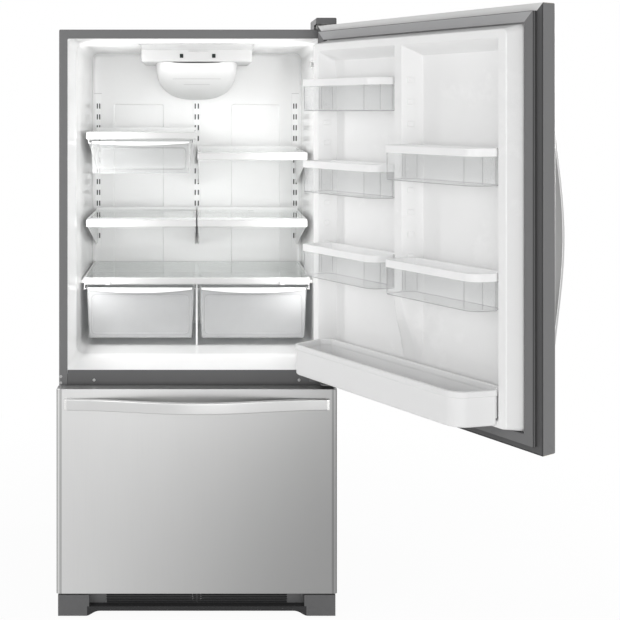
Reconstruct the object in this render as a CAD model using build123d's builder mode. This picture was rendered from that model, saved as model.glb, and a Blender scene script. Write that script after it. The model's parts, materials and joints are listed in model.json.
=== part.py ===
from build123d import *
import os
from math import cos, pi, radians, sin

# Bottom freezer refrigerator: one right-hung door over a pull-out freezer drawer.
# Millimetres. +Z is up, +X is to the right seen from the front, and the front faces -Y.
# The origin lies on the floor at mid width, in the plane of the cabinet's front flange.
# The door rests wide open, and every drawer rests closed.

os.makedirs("parts", exist_ok=True)

# ---- cabinet ----
cab_w = 832.0            # width of the steel case
cab_d = 690.0            # depth of the steel case
cab_top = 1743.0         # top of the case above the floor
case_low = 28.0          # lower edge of the case sides
sheet = 1.0              # steel sheet
flange_side = 26.0       # front flange at the sides
flange_top = 28.0        # front flange at the top
liner_t = 2.5            # plastic liner wall
lip_d = 60.0             # depth of the bevelled mouth of each compartment

# ---- compartments ----
side_wall = 45.0         # case side to the fresh food liner
fresh_wall = 145.0       # case back to the fresh food liner, with the air duct
freezer_wall = 130.0     # case back to the freezer liner
machine_depth = 220.0    # case back to the machine compartment's front wall
fresh_low = 715.0        # fresh food mouth, lower edge
fresh_floor = 748.0
fresh_lip_top = 1706.0   # ceiling just behind the mouth's bevel
fresh_back_top = 1698.0
fresh_back = cab_d - fresh_wall
fresh_half = cab_w / 2 - side_wall  # half width just behind the mouth's bevel
fresh_half_back = fresh_half - 4.0
freezer_low = 100.0      # freezer mouth, lower edge
freezer_top = 640.0
freezer_floor = 114.0
freezer_ceiling = 630.0
freezer_back = cab_d - freezer_wall
machine_y = cab_d - machine_depth
machine_top = 268.0
machine_wall = 34.0      # insulation between the freezer and the machine compartment
corner_r = 22.0

# ---- doors ----
gasket_gap = 16.0        # from the flange to the inner face of a door
door_t = 46.0            # thickness of the steel door box
door_low = 691.0
door_top = 1752.0
drawer_low = 67.0
drawer_top = 673.0
door_edge_r = 12.0       # rounded upright front edges
door_return = 17.0       # inward return of the door skin
gasket_w = 28.0
gasket_reach = 14.8      # height of the sealing bulb above the door's inner face
hinge_inset = 24.0       # hinge axis, in from the door's side
hinge_setback = 26.0     # and back from the door's face
hinge_x = cab_w / 2 - hinge_inset
hinge_y = -gasket_gap - door_t + hinge_setback
door_open = 122.4        # angle of the door at rest, from closed

# ---- hinges ----
pin_r = 6.0
pin_fit = 0.05           # running clearance, radial
bush_r = 11.0
bush_len = 20.0
hinge_plate = 4.0

# ---- door liner, as on the closed door ----
dike_half = fresh_half - 11.0  # half width of the raised border at its top
dike_low = 748.0
dike_high = 1692.0
dike_y = 46.0            # how far the border reaches into the mouth
recess_half = dike_half - 24.0
recess_low = 764.0
recess_high = 1671.0
recess_y = -4.0          # floor of the recess
recess_corner = 4.0
recess_draft = 28.0      # how far its wall leans in from top to floor
rib_x = 5.0              # rib between the two columns of bins
rib_half = 13.5
rib_low = 1010.0
rib_run = 46.0           # how far the rib's lower end runs out to the floor of the recess
rib_corner = 6.0
boss_pitch = 58.0        # bosses that the bins hang on
boss_size = 14.0
boss_proud = 2.6

# ---- door bins ----
bin_front = 109.0        # front of a small bin, as on the closed door
bin_noses = (22.0, 4.0)  # how far its front corners are drawn in, at the free side and the hinge side
bin_corners = (18.0, 5.0)
bin_back = 13.0
bin_h = 91.0
bin_rim_h = 20.0
bin_wall = 2.4
bin_rim_wall = 5.0
boss_top = 1579.5        # middle of the highest boss
bin_left_tops = (1588.0, 1356.0, 1117.0)
bin_right_tops = (1410.0, 1114.0)
gallon_front = 150.0
gallon_noses = (36.0, 15.0)
gallon_corners = (34.0, 16.0)
gallon_top = 838.0
gallon_low = 770.0
gallon_skirt = 752.0
gallon_wall = 4.0
hang_gap = 0.4           # from a hung or resting piece to its seat

# ---- handles ----
handle_len = 785.0
handle_w = 34.0
handle_t = 10.0
handle_bow = 46.0        # bow of the middle beyond the ends
door_handle_z = 1197.0
door_handle_edge = 19.0  # from the door's free edge to the handle
drawer_handle_z = 629.0

# ---- tracks, shelves and brackets ----
slot_pitch = 38.1
slot_rows = 13
slot_top = 1513.4        # middle of the highest slot
slot_w = 4.2
slot_h = 18.0
track_w = 22.0
track_t = 3.0
track_x = fresh_half_back - 20.0
track_margin = 44.0
shelf_y = 175.0          # front of the shelves
shelf_back = fresh_back - 7.0
shelf_out = track_x + 6.0  # outer side of each half shelf
shelf_in = 2.4           # inner side of each half shelf
shelf_trim_h = 24.0
shelf_rail = 12.0
glass_t = 4.0
shelf_tops = (("left", 1430.0), ("right", 1364.0), ("left", 1150.0), ("right", 1150.0))
bracket_t = 3.0
bracket_h = 108.0
bracket_tip = 6.0
glass_seat = 6.0

# ---- deli drawer ----
deli_low = 1296.0
deli_top = 1399.0
deli_out = shelf_out - 7.0
deli_in = 12.0
deli_back = fresh_back - 65.0
deli_wall = 2.2
deli_flange = 6.0
deli_travel = 200.0

# ---- crispers ----
cover_top = 966.0
cover_trim_h = 22.0
cover_half = fresh_half - 11.0
crisper_top = 934.0
crisper_low = 771.0
crisper_out = cover_half - 9.0
crisper_in = 9.0
crisper_back = fresh_back - 40.0
crisper_draft = 6.0
crisper_wall = 2.2
lip_proud = 11.0         # pull lip of a drawer front
slider_x = (-283.0, 272.0)
slider_w = 14.0
slider_slot = 62.0

# ---- controls and light ----
housing_half = 180.0
housing_front = 95.0
housing_fold = 214.0
housing_face = 234.0
housing_low = 1656.0
housing_back = fresh_back - 4.0
window_x = (-49.0, 55.0)
window_size = (10.0, 13.0)
window_z = 1675.0
button_x = (-13.0, 21.0)
button_size = (26.0, 5.0)
button_z = 1687.0
button_proud = 2.0
button_travel = 1.0
light_half = 140.0
light_low = 1536.0
light_wall = 2.5
bulb_y = housing_back - 141.0
bulb_z = 1622.0

# ---- freezer drawer ----
slide_z = (306.0, 344.0)
slide_t = 5.6
slide_gap = 0.4
slide_front = 66.0
slide_back = freezer_back - 74.0
drawer_travel = 420.0
bin_x = fresh_half - 33.0
freezer_bin_z = (126.0, 396.0)
freezer_bin_y = (52.0, machine_y - machine_wall - 21.0)
tray_z = (446.0, 545.0)
tray_y = (60.0, freezer_back - 230.0)
tray_travel = 120.0
basket_wall = 3.0
tray_rail_top = 540.0
drawer_dike_y = 18.0

# ---- base, rollers and legs ----
pan_z = 66.0
rail_in = cab_w / 2 - 20.0
roller_x = cab_w / 2 - 32.0
roller_w = 18.0
rear_roller_r = 22.0
rear_roller_y = cab_d - 50.0
front_roller_r = 18.0
front_roller_y = 96.0
front_roller_lift = 1.5
axle_r = 4.0
leg_x = cab_w / 2 - 64.0
leg_y = 48.0
leg_foot_r = 16.0
leg_r = 5.0
grille_half = cab_w / 2 - 5.0
grille_shroud = 86.0
grille_top = 63.0
grille_lip = 16.0
grille_front = -60.0
grille_setback = 24.0
shroud_low = 1.0         # bottom of the foot shrouds
louvre_half = grille_half - 141.0

# ---- cooling system ----
fan_r = 52.0
fan_hub_r = 16.0
evap_fan_z = 566.0
evap_cover_y = freezer_back - 64.0  # front of the evaporator cover
condenser_x = (60.0, 330.0)
condenser_fan_z = 150.0
compressor_x = -180.0
machine_mid = (machine_y + cab_d) / 2
condenser_mid = machine_mid + 3.0

# ---- light switch ----
switch_r = 3.5
switch_z = 1640.0
switch_y = dike_y + 1.0  # tip of the plunger
switch_travel = 4.0

# ---- worked out ----
half = cab_w / 2
mouth_half = half - flange_side
fresh_top = cab_top - flange_top
door_face = -gasket_gap - door_t
door_turn = Location((hinge_x, hinge_y, 0), (0, 0, door_open)) * Location((-hinge_x, -hinge_y, 0))
door_frame = Plane(door_turn)
still = Location()
gasket_out = half - door_return
gasket_in = gasket_out - gasket_w
flange_screws = ((-half + 5.7, 695.0), (-half + 5.7, 675.5))
mullion_screws = ((-310.0, 684.5), (309.0, 684.5))
hinge_screws = ((hinge_x - 40, 690.0), (hinge_x - 14, 690.0))


# ---- helpers ----
def block(x, y, z, mode=Mode.ADD):
    """A box given by its low and high value along each axis."""
    with Locations(((x[0] + x[1]) / 2, (y[0] + y[1]) / 2, (z[0] + z[1]) / 2)):
        Box(x[1] - x[0], y[1] - y[0], z[1] - z[0], mode=mode)


def placed(plane, turn):
    """A plane carried along by a turn, for sketches on the open door."""
    return Plane(turn * plane.location)


def funnel(near, far, radius, turn=still, mode=Mode.ADD):
    """A tapered body between two upright rounded rectangles: y, low x, high x, low z, high z."""
    sections = []
    for y, x0, x1, z0, z1 in (near, far):
        with BuildSketch(placed(Plane.XZ.offset(-y), turn)) as section:
            with Locations(((x0 + x1) / 2, (z0 + z1) / 2)):
                RectangleRounded(x1 - x0, z1 - z0, radius)
        sections.append(section.sketch)
    loft(sections, ruled=True, mode=mode)


def tub(x, y, z, draft, radius, mode=Mode.ADD):
    """A tapered body between two level rounded rectangles, narrower by the draft at its low end."""
    sections = []
    for level, d in ((z[0], draft), (z[1], 0.0)):
        with BuildSketch(Plane.XY.offset(level)) as section:
            with Locations(((x[0] + x[1]) / 2, (y[0] + y[1]) / 2)):
                RectangleRounded(x[1] - x[0] - 2 * d, y[1] - y[0] - 2 * d, radius)
        sections.append(section.sketch)
    loft(sections, ruled=True, mode=mode)


def slab(outline, z, mode=Mode.ADD, turn=still):
    """A level plate over an outline of points, from one height to another."""
    with BuildSketch(placed(Plane.XY.offset(z[0]), turn)) as plan:
        with BuildLine():
            Polyline(*outline, close=True)
        make_face()
    extrude(plan.sketch, amount=z[1] - z[0], mode=mode)


def profile_across(outline, x, mode=Mode.ADD):
    """A body with a side profile of (y, z) points, from one x to another."""
    with BuildSketch(Plane.YZ.offset(x[0])) as side:
        with BuildLine():
            Polyline(*outline, close=True)
        make_face()
    extrude(side.sketch, amount=x[1] - x[0], mode=mode)


def rod(start, direction, radius, length, mode=Mode.ADD):
    """A round rod from a point along a direction."""
    with BuildSketch(Plane(origin=start, z_dir=direction)) as disc:
        Circle(radius)
    extrude(disc.sketch, amount=length, mode=mode)


def hinge_rod(z, radius, mode=Mode.ADD):
    """A round body on the door's hinge axis, in the door's own frame."""
    with BuildSketch(placed(Plane.XY.offset(z[0]), door_turn)) as disc:
        with Locations((hinge_x, hinge_y)):
            Circle(radius)
    extrude(disc.sketch, amount=z[1] - z[0], mode=mode)


def save(piece, name):
    """Labels a finished piece and writes its file."""
    piece.part.label = name
    export_step(piece.part, f"parts/{name}.step")


# ==== cabinet ====
fresh_mouth = (sheet, -mouth_half + 0.5, mouth_half - 0.5, fresh_low + 0.5, fresh_top - 0.5)
fresh_throat = (lip_d, -fresh_half, fresh_half, fresh_floor, fresh_lip_top)
fresh_end = (fresh_back, -fresh_half_back, fresh_half_back, fresh_floor, fresh_back_top)
freezer_mouth = (sheet, -mouth_half + 0.5, mouth_half - 0.5, freezer_low + 0.5, freezer_top - 0.5)
freezer_throat = (lip_d, -fresh_half, fresh_half, freezer_floor, freezer_ceiling)
back_recesses = ((-293.0, -117.0), (122.0, 293.0))
back_recess_z = (919.0, 1520.0)
back_recess_d = 3.0


def grown(section, wall, back=0.0):
    """A compartment section with a wall's thickness added all round."""
    y, x0, x1, z0, z1 = section
    return (y + back, x0 - wall, x1 + wall, z0 - wall, z1 + wall)


def fresh_wall(y):
    """Half width of the fresh food compartment at a depth."""
    return fresh_half - (fresh_half - fresh_half_back) * (y - lip_d) / (fresh_back - lip_d)


with BuildPart() as cabinet_wrapper:
    block((-half, half), (0, cab_d), (case_low, cab_top))
    top_long_edges = cabinet_wrapper.edges().filter_by(Axis.Y).group_by(Axis.Z)[-1]
    fillet(top_long_edges, 4.0)
    block((-half + sheet, half - sheet), (sheet, cab_d), (case_low - 1, cab_top - sheet), Mode.SUBTRACT)
    block((-mouth_half, mouth_half), (-1, sheet + 1), (case_low - 1, fresh_top), Mode.SUBTRACT)
    for x, z in flange_screws:
        rod((x, -1, z), (0, 1, 0), 2.2, 4, Mode.SUBTRACT)
save(cabinet_wrapper, "cabinet_wrapper")

with BuildPart() as back_panel:
    block((-half + sheet, half - sheet), (cab_d - sheet, cab_d), (machine_top + 0.2, cab_top - 1.5))
    for x in (-250.0, 0.0, 250.0):
        block((x - 9, x + 9), (cab_d - sheet, cab_d + 2), (machine_top + 80, cab_top - 120))
save(back_panel, "back_panel")

with BuildPart() as fresh_food_liner:
    funnel(grown(fresh_mouth, liner_t), grown(fresh_throat, liner_t), corner_r + liner_t)
    funnel(grown(fresh_throat, liner_t), grown(fresh_end, liner_t, liner_t), corner_r + liner_t)
    for x in back_recesses:
        block(x, (fresh_back - 5, fresh_back + back_recess_d + liner_t), back_recess_z)
    funnel(fresh_mouth, fresh_throat, corner_r, mode=Mode.SUBTRACT)
    funnel(fresh_throat, fresh_end, corner_r, mode=Mode.SUBTRACT)
    for x in back_recesses:
        inner_x = (x[0] + liner_t, x[1] - liner_t)
        inner_z = (back_recess_z[0] + liner_t, back_recess_z[1] - liner_t)
        block(inner_x, (fresh_back - 5, fresh_back + back_recess_d), inner_z, Mode.SUBTRACT)
    block((-half + 12, half - 12), (sheet, sheet + liner_t), (fresh_low - 12, fresh_top + 14))
    funnel(fresh_mouth, fresh_throat, corner_r, mode=Mode.SUBTRACT)
    rib_y = (shelf_y + 25, shelf_back - 25)
    for side in (-1, 1):
        near, far = side * (fresh_wall(rib_y[0]) + 1), side * (fresh_wall(rib_y[1]) + 1)
        inner = side * (cover_half + 0.6)
        rib = ((inner, rib_y[0]), (near, rib_y[0]), (far, rib_y[1]), (inner, rib_y[1]))
        slab(rib, (cover_top - 22, cover_top - 12))
    switch_x = (dike_half - 11, fresh_half + 1.5)
    block(switch_x, (switch_y + 7, switch_y + 34), (switch_z - 9, switch_z + 9))
    rod((dike_half - 4, switch_y + 6, switch_z), (0, 1, 0), switch_r + pin_fit, 24, Mode.SUBTRACT)
save(fresh_food_liner, "fresh_food_liner")

hump_y = machine_y - machine_wall
hump_z = machine_top + machine_wall


def freezer_side(wall):
    """Side profile of the freezer compartment behind its mouth, grown by a wall."""
    return (
        (lip_d, freezer_floor - wall),
        (hump_y - 30 + wall, freezer_floor - wall),
        (hump_y + wall, hump_z - 40),
        (hump_y + wall, hump_z - wall),
        (freezer_back + wall, hump_z - wall),
        (freezer_back + wall, freezer_ceiling + wall),
        (lip_d, freezer_ceiling + wall),
    )


with BuildPart() as freezer_liner:
    funnel(grown(freezer_mouth, liner_t), grown(freezer_throat, liner_t), corner_r + liner_t)
    profile_across(freezer_side(liner_t), (-fresh_half - liner_t, fresh_half + liner_t))
    funnel(freezer_mouth, freezer_throat, corner_r, mode=Mode.SUBTRACT)
    profile_across(freezer_side(0.0), (-fresh_half, fresh_half), Mode.SUBTRACT)
    block((-half + 12, half - 12), (sheet, sheet + liner_t), (freezer_low - 8, freezer_top + 12))
    funnel(freezer_mouth, freezer_throat, corner_r, mode=Mode.SUBTRACT)
save(freezer_liner, "freezer_liner")

bar_low = freezer_top + 0.5
with BuildPart() as mullion_bar:
    block((-mouth_half + 0.3, mouth_half - 0.3), (0, sheet), (bar_low, fresh_low))
    block((-mouth_half + 0.3, mouth_half - 0.3), (sheet, 14), (bar_low + 16, fresh_low - 16))
    block(
        (-mouth_half - 1, mouth_half + 1), (sheet, 14 - sheet), (bar_low + 17, fresh_low - 17),
        Mode.SUBTRACT,
    )
    for x, z in (*mullion_screws, *hinge_screws):
        rod((x, -1, z), (0, 1, 0), 2.2, 4, Mode.SUBTRACT)
save(mullion_bar, "mullion_bar")

foam_y = 16.0
with BuildPart() as cabinet_foam:
    block((-half + sheet, half - sheet), (foam_y, cab_d - sheet), (pan_z, cab_top - sheet))
    fillet(cabinet_foam.edges().filter_by(Axis.Y).group_by(Axis.Z)[-1], 4.0)
    block((-half, half), (machine_y, cab_d + 1), (pan_z - 1, machine_top), Mode.SUBTRACT)
    funnel(
        grown(fresh_mouth, liner_t), grown(fresh_throat, liner_t), corner_r + liner_t,
        mode=Mode.SUBTRACT,
    )
    funnel(
        grown(fresh_throat, liner_t), grown(fresh_end, liner_t, liner_t), corner_r + liner_t,
        mode=Mode.SUBTRACT,
    )
    for x in back_recesses:
        block(x, (fresh_back - 5, fresh_back + back_recess_d + liner_t), back_recess_z, Mode.SUBTRACT)
    funnel(
        grown(freezer_mouth, liner_t), grown(freezer_throat, liner_t), corner_r + liner_t,
        mode=Mode.SUBTRACT,
    )
    profile_across(freezer_side(liner_t), (-fresh_half - liner_t, fresh_half + liner_t), Mode.SUBTRACT)
save(cabinet_foam, "cabinet_foam")

# The pressed base carries the foam, the machine compartment, the legs and the rollers.
with BuildPart() as base_frame:
    block((-half + 1.5, half - 1.5), (2, machine_y), (pan_z - 1.5, pan_z))
    block((-mouth_half + 0.5, mouth_half - 0.5), (0, 1.5), (pan_z, freezer_low - 9))
    block((-mouth_half + 0.5, mouth_half - 0.5), (0, 6), (pan_z - 1.5, pan_z))
    block((-half + 1.5, half - 1.5), (machine_y - 1.5, machine_y), (pan_z - 36, pan_z))
    block((-half + 1.5, half - 1.5), (machine_y - 1.5, cab_d - 3), (pan_z - 36, pan_z - 34))
    for side in (-1, 1):
        rail = sorted((side * rail_in, side * (half - 1.5)))
        block(rail, (4, cab_d - 3), (pan_z - 36, pan_z - 1.5))
        rail_core = sorted((side * (rail_in + 1.5), side * (half - 3)))
        block(rail_core, (3, cab_d - 2), (pan_z - 37, pan_z - 3), Mode.SUBTRACT)
        wall = sorted((side * (half - 3), side * (half - 1.5)))
        block(wall, (machine_y, cab_d - 3), (pan_z - 3, machine_top - 1))
        well = sorted((side * (roller_x - roller_w), side * rail_in))
        block(well, (rear_roller_y - 27, rear_roller_y + 27), (pan_z - 40, pan_z - 30), Mode.SUBTRACT)
        ear_x = roller_x - roller_w / 2 - 2.5
        ear = sorted((side * (ear_x - 2), side * ear_x))
        rear_axle_z = rear_roller_r
        front_axle_z = front_roller_r + front_roller_lift
        block(ear, (rear_roller_y - 12, rear_roller_y + 12), (rear_axle_z - 8, pan_z - 33))
        block(ear, (front_roller_y - 12, front_roller_y + 12), (front_axle_z - 8, pan_z - 1))
        cheek = sorted((side * rail_in, side * (rail_in + 1.5)))
        block(cheek, (rear_roller_y - 12, rear_roller_y + 12), (rear_axle_z - 8, pan_z - 30))
        block(cheek, (front_roller_y - 12, front_roller_y + 12), (front_axle_z - 8, pan_z - 30))
        axle_start = side * (ear_x - 2)
        axle_len = rail_in + 1.5 - (ear_x - 2)
        rod((axle_start, rear_roller_y, rear_axle_z), (side, 0, 0), axle_r, axle_len)
        rod((axle_start, front_roller_y, front_axle_z), (side, 0, 0), axle_r, axle_len)
        leg_plate = sorted((side * (leg_x - 22), side * rail_in))
        block(leg_plate, (leg_y - 22, leg_y + 22), (pan_z - 14, pan_z - 11))
        web = sorted((side * (leg_x - 22), side * (leg_x - 20)))
        block(web, (leg_y - 22, leg_y + 22), (pan_z - 14, pan_z - 1))
        rod((side * leg_x, leg_y, pan_z - 20), (0, 0, 1), leg_r + 0.2, 12, Mode.SUBTRACT)
save(base_frame, "base_frame")

with BuildPart() as levelling_legs:
    for side in (-1, 1):
        rod((side * leg_x, leg_y, 0), (0, 0, 1), leg_foot_r, 7)
        rod((side * leg_x, leg_y, 7), (0, 0, 1), leg_r, pan_z - 11)
        rod((side * leg_x, leg_y, pan_z - 22), (0, 0, 1), 9, 8)
save(levelling_legs, "levelling_legs")


def wheels(radius, y, axle_z, over=0.0, mode=Mode.ADD):
    """Two discs on one axle line, left and right."""
    for side in (-1, 1):
        start = side * (roller_x - roller_w / 2 - over)
        rod((start, y, axle_z), (side, 0, 0), radius, roller_w + 2 * over, mode)


with BuildPart() as rear_rollers:
    wheels(rear_roller_r, rear_roller_y, rear_roller_r)
    chamfer(rear_rollers.edges().filter_by(GeomType.CIRCLE), 1.5)
    wheels(axle_r + pin_fit, rear_roller_y, rear_roller_r, 1.0, Mode.SUBTRACT)
save(rear_rollers, "rear_rollers")

with BuildPart() as front_rollers:
    front_axle_z = front_roller_r + front_roller_lift
    wheels(front_roller_r, front_roller_y, front_axle_z)
    chamfer(front_rollers.edges().filter_by(GeomType.CIRCLE), 1.5)
    wheels(axle_r + pin_fit, front_roller_y, front_axle_z, 1.0, Mode.SUBTRACT)
save(front_rollers, "front_rollers")

# ==== base grille ====
shroud_in = grille_half - grille_shroud
with BuildPart() as base_grille:
    with BuildSketch(Plane.XZ.offset(-grille_front)) as grille_outline:
        with BuildLine():
            for side in (-1, 1):
                Line((side * grille_half, shroud_low), (side * (shroud_in + 2), shroud_low))
                Bezier(
                    (side * (shroud_in + 2), shroud_low), (side * (shroud_in - 14), shroud_low + 3),
                    (side * (shroud_in - 18), grille_lip), (side * (shroud_in - 40), grille_lip),
                )
                Line((side * grille_half, shroud_low), (side * grille_half, grille_top))
            Line((-shroud_in + 40, grille_lip), (shroud_in - 40, grille_lip))
            Line((-grille_half, grille_top), (grille_half, grille_top))
        make_face()
    extrude(amount=grille_front)
    for side in (-1, 1):
        recess = sorted((0, side * (shroud_in - 6)))
        recess_y_span = (grille_front - 1, grille_front + grille_setback)
        block(recess, recess_y_span, (grille_lip + 13, grille_top + 1), Mode.SUBTRACT)
        hollow = sorted((side * 12, side * (shroud_in + 8)))
        hollow_y = (grille_front + grille_setback + 3, 1)
        block(hollow, hollow_y, (grille_lip + 3, grille_top - 3), Mode.SUBTRACT)
        foot_hollow = sorted((side * (shroud_in + 8), side * (grille_half - 3)))
        block(foot_hollow, (grille_front + 3, 1), (shroud_low - 1, grille_top - 3), Mode.SUBTRACT)
    louvre_gaps = 4
    louvre_step = (grille_top - 4 - (grille_lip + 15)) / louvre_gaps
    for row in range(louvre_gaps):
        z = grille_lip + 15 + row * louvre_step
        gap_y = (grille_front + grille_setback - 1, grille_front + grille_setback + 4)
        for side in (-1, 1):
            gap_x = sorted((side * 3, side * louvre_half))
            block(gap_x, gap_y, (z, z + louvre_step * 0.55), Mode.SUBTRACT)
save(base_grille, "base_grille")

# ==== tracks, shelves and brackets ====
track_low = slot_top - (slot_rows - 1) * slot_pitch - track_margin
track_high = slot_top + track_margin
with BuildPart() as shelf_tracks:
    for x, spread in ((-track_x, 4.2), (0.0, 5.4), (track_x, 4.2)):
        strip = (x - track_w / 2, x + track_w / 2)
        block(strip, (fresh_back - track_t, fresh_back), (track_low, track_high))
        for row in range(slot_rows):
            z = slot_top - row * slot_pitch
            for dx in (-spread, spread):
                slot_x = (x + dx - slot_w / 2, x + dx + slot_w / 2)
                slot_z = (z - slot_h / 2, z + slot_h / 2)
                block(slot_x, (fresh_back - track_t - 1, fresh_back + 1), slot_z, Mode.SUBTRACT)
save(shelf_tracks, "shelf_tracks")


def shelf_span(side):
    """Low and high x of a half shelf."""
    return (-shelf_out, -shelf_in) if side == "left" else (shelf_in, shelf_out)


def bracket_places(side):
    """The two upright planes that carry a half shelf."""
    return (-track_x - 4.2, -5.4) if side == "left" else (5.4, track_x + 4.2)


deli_x = (-deli_out + 8, -deli_in - 6)
with BuildPart() as shelf_frames:
    for side, top in shelf_tops:
        x0, x1 = shelf_span(side)
        y1 = shelf_back - 12
        block((x0, x1), (shelf_y, y1), (top - 12, top))
        block((x0, x1), (shelf_y, shelf_y + 14), (top - shelf_trim_h, top))
        block((x0, x1), (y1 - 8, y1), (top, top + 9))
        block(
            (x0 + shelf_rail, x1 - shelf_rail), (shelf_y + 16, y1 - 14), (top - 13, top + 1), Mode.SUBTRACT
        )
        rebate = (top - glass_t, top + 1)
        block((x0 + glass_seat, x1 - glass_seat), (shelf_y + 10, y1 - 8), rebate, Mode.SUBTRACT)
        for x in bracket_places(side):
            gap = (x - bracket_t / 2 - 0.4, x + bracket_t / 2 + 0.4)
            block(gap, (shelf_y + 15, y1 + 1), (top - 13, top - 7), Mode.SUBTRACT)
    rail_z = (deli_top - 3 - hang_gap - 3, shelf_tops[0][1] - 12)
    rail_y = (shelf_y + 15, deli_back + 10)
    for x, inward in ((deli_x[0] - deli_flange - 0.6, 1), (deli_x[1] + deli_flange + 0.6, -1)):
        block(sorted((x, x - inward * 3)), rail_y, rail_z)
        block(sorted((x, x + inward * 5)), rail_y, (rail_z[0], rail_z[0] + 3))
save(shelf_frames, "shelf_frames")

with BuildPart() as shelf_glass:
    for side, top in shelf_tops:
        x0, x1 = shelf_span(side)
        y1 = shelf_back - 12
        pane = (x0 + glass_seat + 0.3, x1 - glass_seat - 0.3)
        block(pane, (shelf_y + 10.3, y1 - 8.3), (top - glass_t, top - 0.3))
save(shelf_glass, "shelf_glass")

with BuildPart() as shelf_brackets:
    for side, top in shelf_tops:
        for x in bracket_places(side):
            arm = (
                (shelf_y + 18, top - 12 - bracket_tip),
                (shelf_y + 18, top - 7.4),
                (fresh_back - track_t - 0.3, top - 7.4),
                (fresh_back - track_t - 0.3, top - 12 - bracket_h),
                (fresh_back - track_t - 26, top - 12 - bracket_h),
            )
            profile_across(arm, (x - bracket_t / 2, x + bracket_t / 2))
            for row in range(slot_rows):
                z = slot_top - row * slot_pitch
                if top - 12 - bracket_h + 6 < z - 5 and z + 5 < top - 12:
                    hook_y = (fresh_back - track_t - 1, fresh_back - 0.3)
                    block((x - 1.4, x + 1.4), hook_y, (z - 6, z + 4))
save(shelf_brackets, "shelf_brackets")


# ==== pull-out drawers of the fresh food compartment ====
def drawer_shell(x, y, z, draft, wall, flange, lip_drop):
    """An open clear drawer: tapered walls, a rim flange at the sides and a bowed pull lip."""
    tub(x, y, z, draft, 10.0)
    floor_z = z[0] + wall
    inner_x = (x[0] + wall, x[1] - wall)
    inner_y = (y[0] + wall, y[1] - wall)
    tub(inner_x, inner_y, (floor_z, z[1] + 0.01), draft, 8.0, Mode.SUBTRACT)
    for side, inward in ((x[0], 1), (x[1], -1)):
        rim = sorted((side - inward * flange, side + inward * wall))
        block(rim, (y[0] + 14, y[1] - 6), (z[1] - 3, z[1]))
    pull_lip((x[0] + 6, x[1] - 6), y[0], -lip_proud, 1.0, z[1], 5.0, lip_drop, Mode.ADD)
    pull_lip((x[0] + 9, x[1] - 9), y[0], wall - lip_proud, 0.0, z[1] - wall, 4.0, lip_drop, Mode.SUBTRACT)


def pull_lip(x, y, near, far, top, end_drop, mid_drop, mode):
    """A bar along the front of a drawer whose lower edge hangs lower in the middle."""
    mid = (x[0] + x[1]) / 2
    with BuildSketch(Plane.XZ.offset(-y - near)) as front:
        with BuildLine():
            Polyline((x[0], top - end_drop), (x[0], top), (x[1], top), (x[1], top - end_drop))
            ThreePointArc((x[1], top - end_drop), (mid, top - mid_drop), (x[0], top - end_drop))
        make_face()
    extrude(front.sketch, amount=near - far, mode=mode)


with BuildPart() as deli_drawer:
    drawer_shell(deli_x, (shelf_y + 2, deli_back), (deli_low, deli_top), 4.0, deli_wall, deli_flange, 12.0)
save(deli_drawer, "deli_drawer")

ledge_top = crisper_top - 3 - hang_gap
lid_y = (shelf_y - 4, shelf_back)
with BuildPart() as crisper_cover:
    block((-cover_half, cover_half), lid_y, (cover_top - 12, cover_top))
    block((-cover_half, cover_half), (lid_y[0], lid_y[0] + 14), (cover_top - cover_trim_h, cover_top))
    fillet(crisper_cover.edges().filter_by(Axis.Z).group_by(Axis.Y)[0], 6.0)
    pane_hole = cover_half - 14
    block(
        (-pane_hole, pane_hole), (lid_y[0] + 18, lid_y[1] - 14), (cover_top - 13, cover_top + 1),
        Mode.SUBTRACT,
    )
    block(
        (-cover_half + glass_seat, cover_half - glass_seat), (lid_y[0] + 12, lid_y[1] - 8),
        (cover_top - glass_t, cover_top + 1), Mode.SUBTRACT,
    )
    block((-7, 7), (lid_y[0] + 14, lid_y[1]), (cover_top - 12, cover_top - glass_t))
    block((-2, 2), (shelf_y + 8, crisper_back), (ledge_top - 3, cover_top - 12))
    block((-7.5, 7.5), (shelf_y + 8, crisper_back), (ledge_top - 3, ledge_top))
    block((-3, 3), (shelf_y + 8, shelf_y + 30), (fresh_floor + 0.3, ledge_top - 3))
    for side in (-1, 1):
        wing = sorted((side * (cover_half - 2), side * (cover_half + 6)))
        block(wing, (shelf_y + 30, shelf_back - 30), (cover_top - 12, cover_top - 7))
        web = sorted((side * (cover_half - 3), side * cover_half))
        block(web, (shelf_y + 8, crisper_back), (ledge_top - 3, cover_top - 12))
        ledge = sorted((side * (crisper_out + 1.5), side * cover_half))
        block(ledge, (shelf_y + 8, crisper_back), (ledge_top - 3, ledge_top))
    for x, outward in ((slider_x[0], 1), (slider_x[1], -1)):
        slot = sorted((x - outward * slider_w / 2, x + outward * (slider_slot - slider_w / 2)))
        block(slot, (lid_y[0] - 1, lid_y[0] + 15), (cover_top - 18.5, cover_top - 14.5), Mode.SUBTRACT)
save(crisper_cover, "crisper_cover")

with BuildPart() as crisper_cover_glass:
    pane_x = cover_half - glass_seat - 0.3
    block((-pane_x, pane_x), (lid_y[0] + 12.3, lid_y[1] - 8.3), (cover_top - glass_t, cover_top - 0.3))
save(crisper_cover_glass, "crisper_cover_glass")

crisper_y = (shelf_y + 2, crisper_back - 4)
crisper_z = (crisper_low, crisper_top)
with BuildPart() as crisper_left:
    drawer_shell(
        (-crisper_out, -crisper_in), crisper_y, crisper_z, crisper_draft, crisper_wall, 4.0, 16.0
    )
save(crisper_left, "crisper_left")

with BuildPart() as crisper_right:
    drawer_shell(
        (crisper_in, crisper_out), crisper_y, crisper_z, crisper_draft, crisper_wall, 4.0, 16.0
    )
save(crisper_right, "crisper_right")

slider_z = cover_top - 16.5


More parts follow.
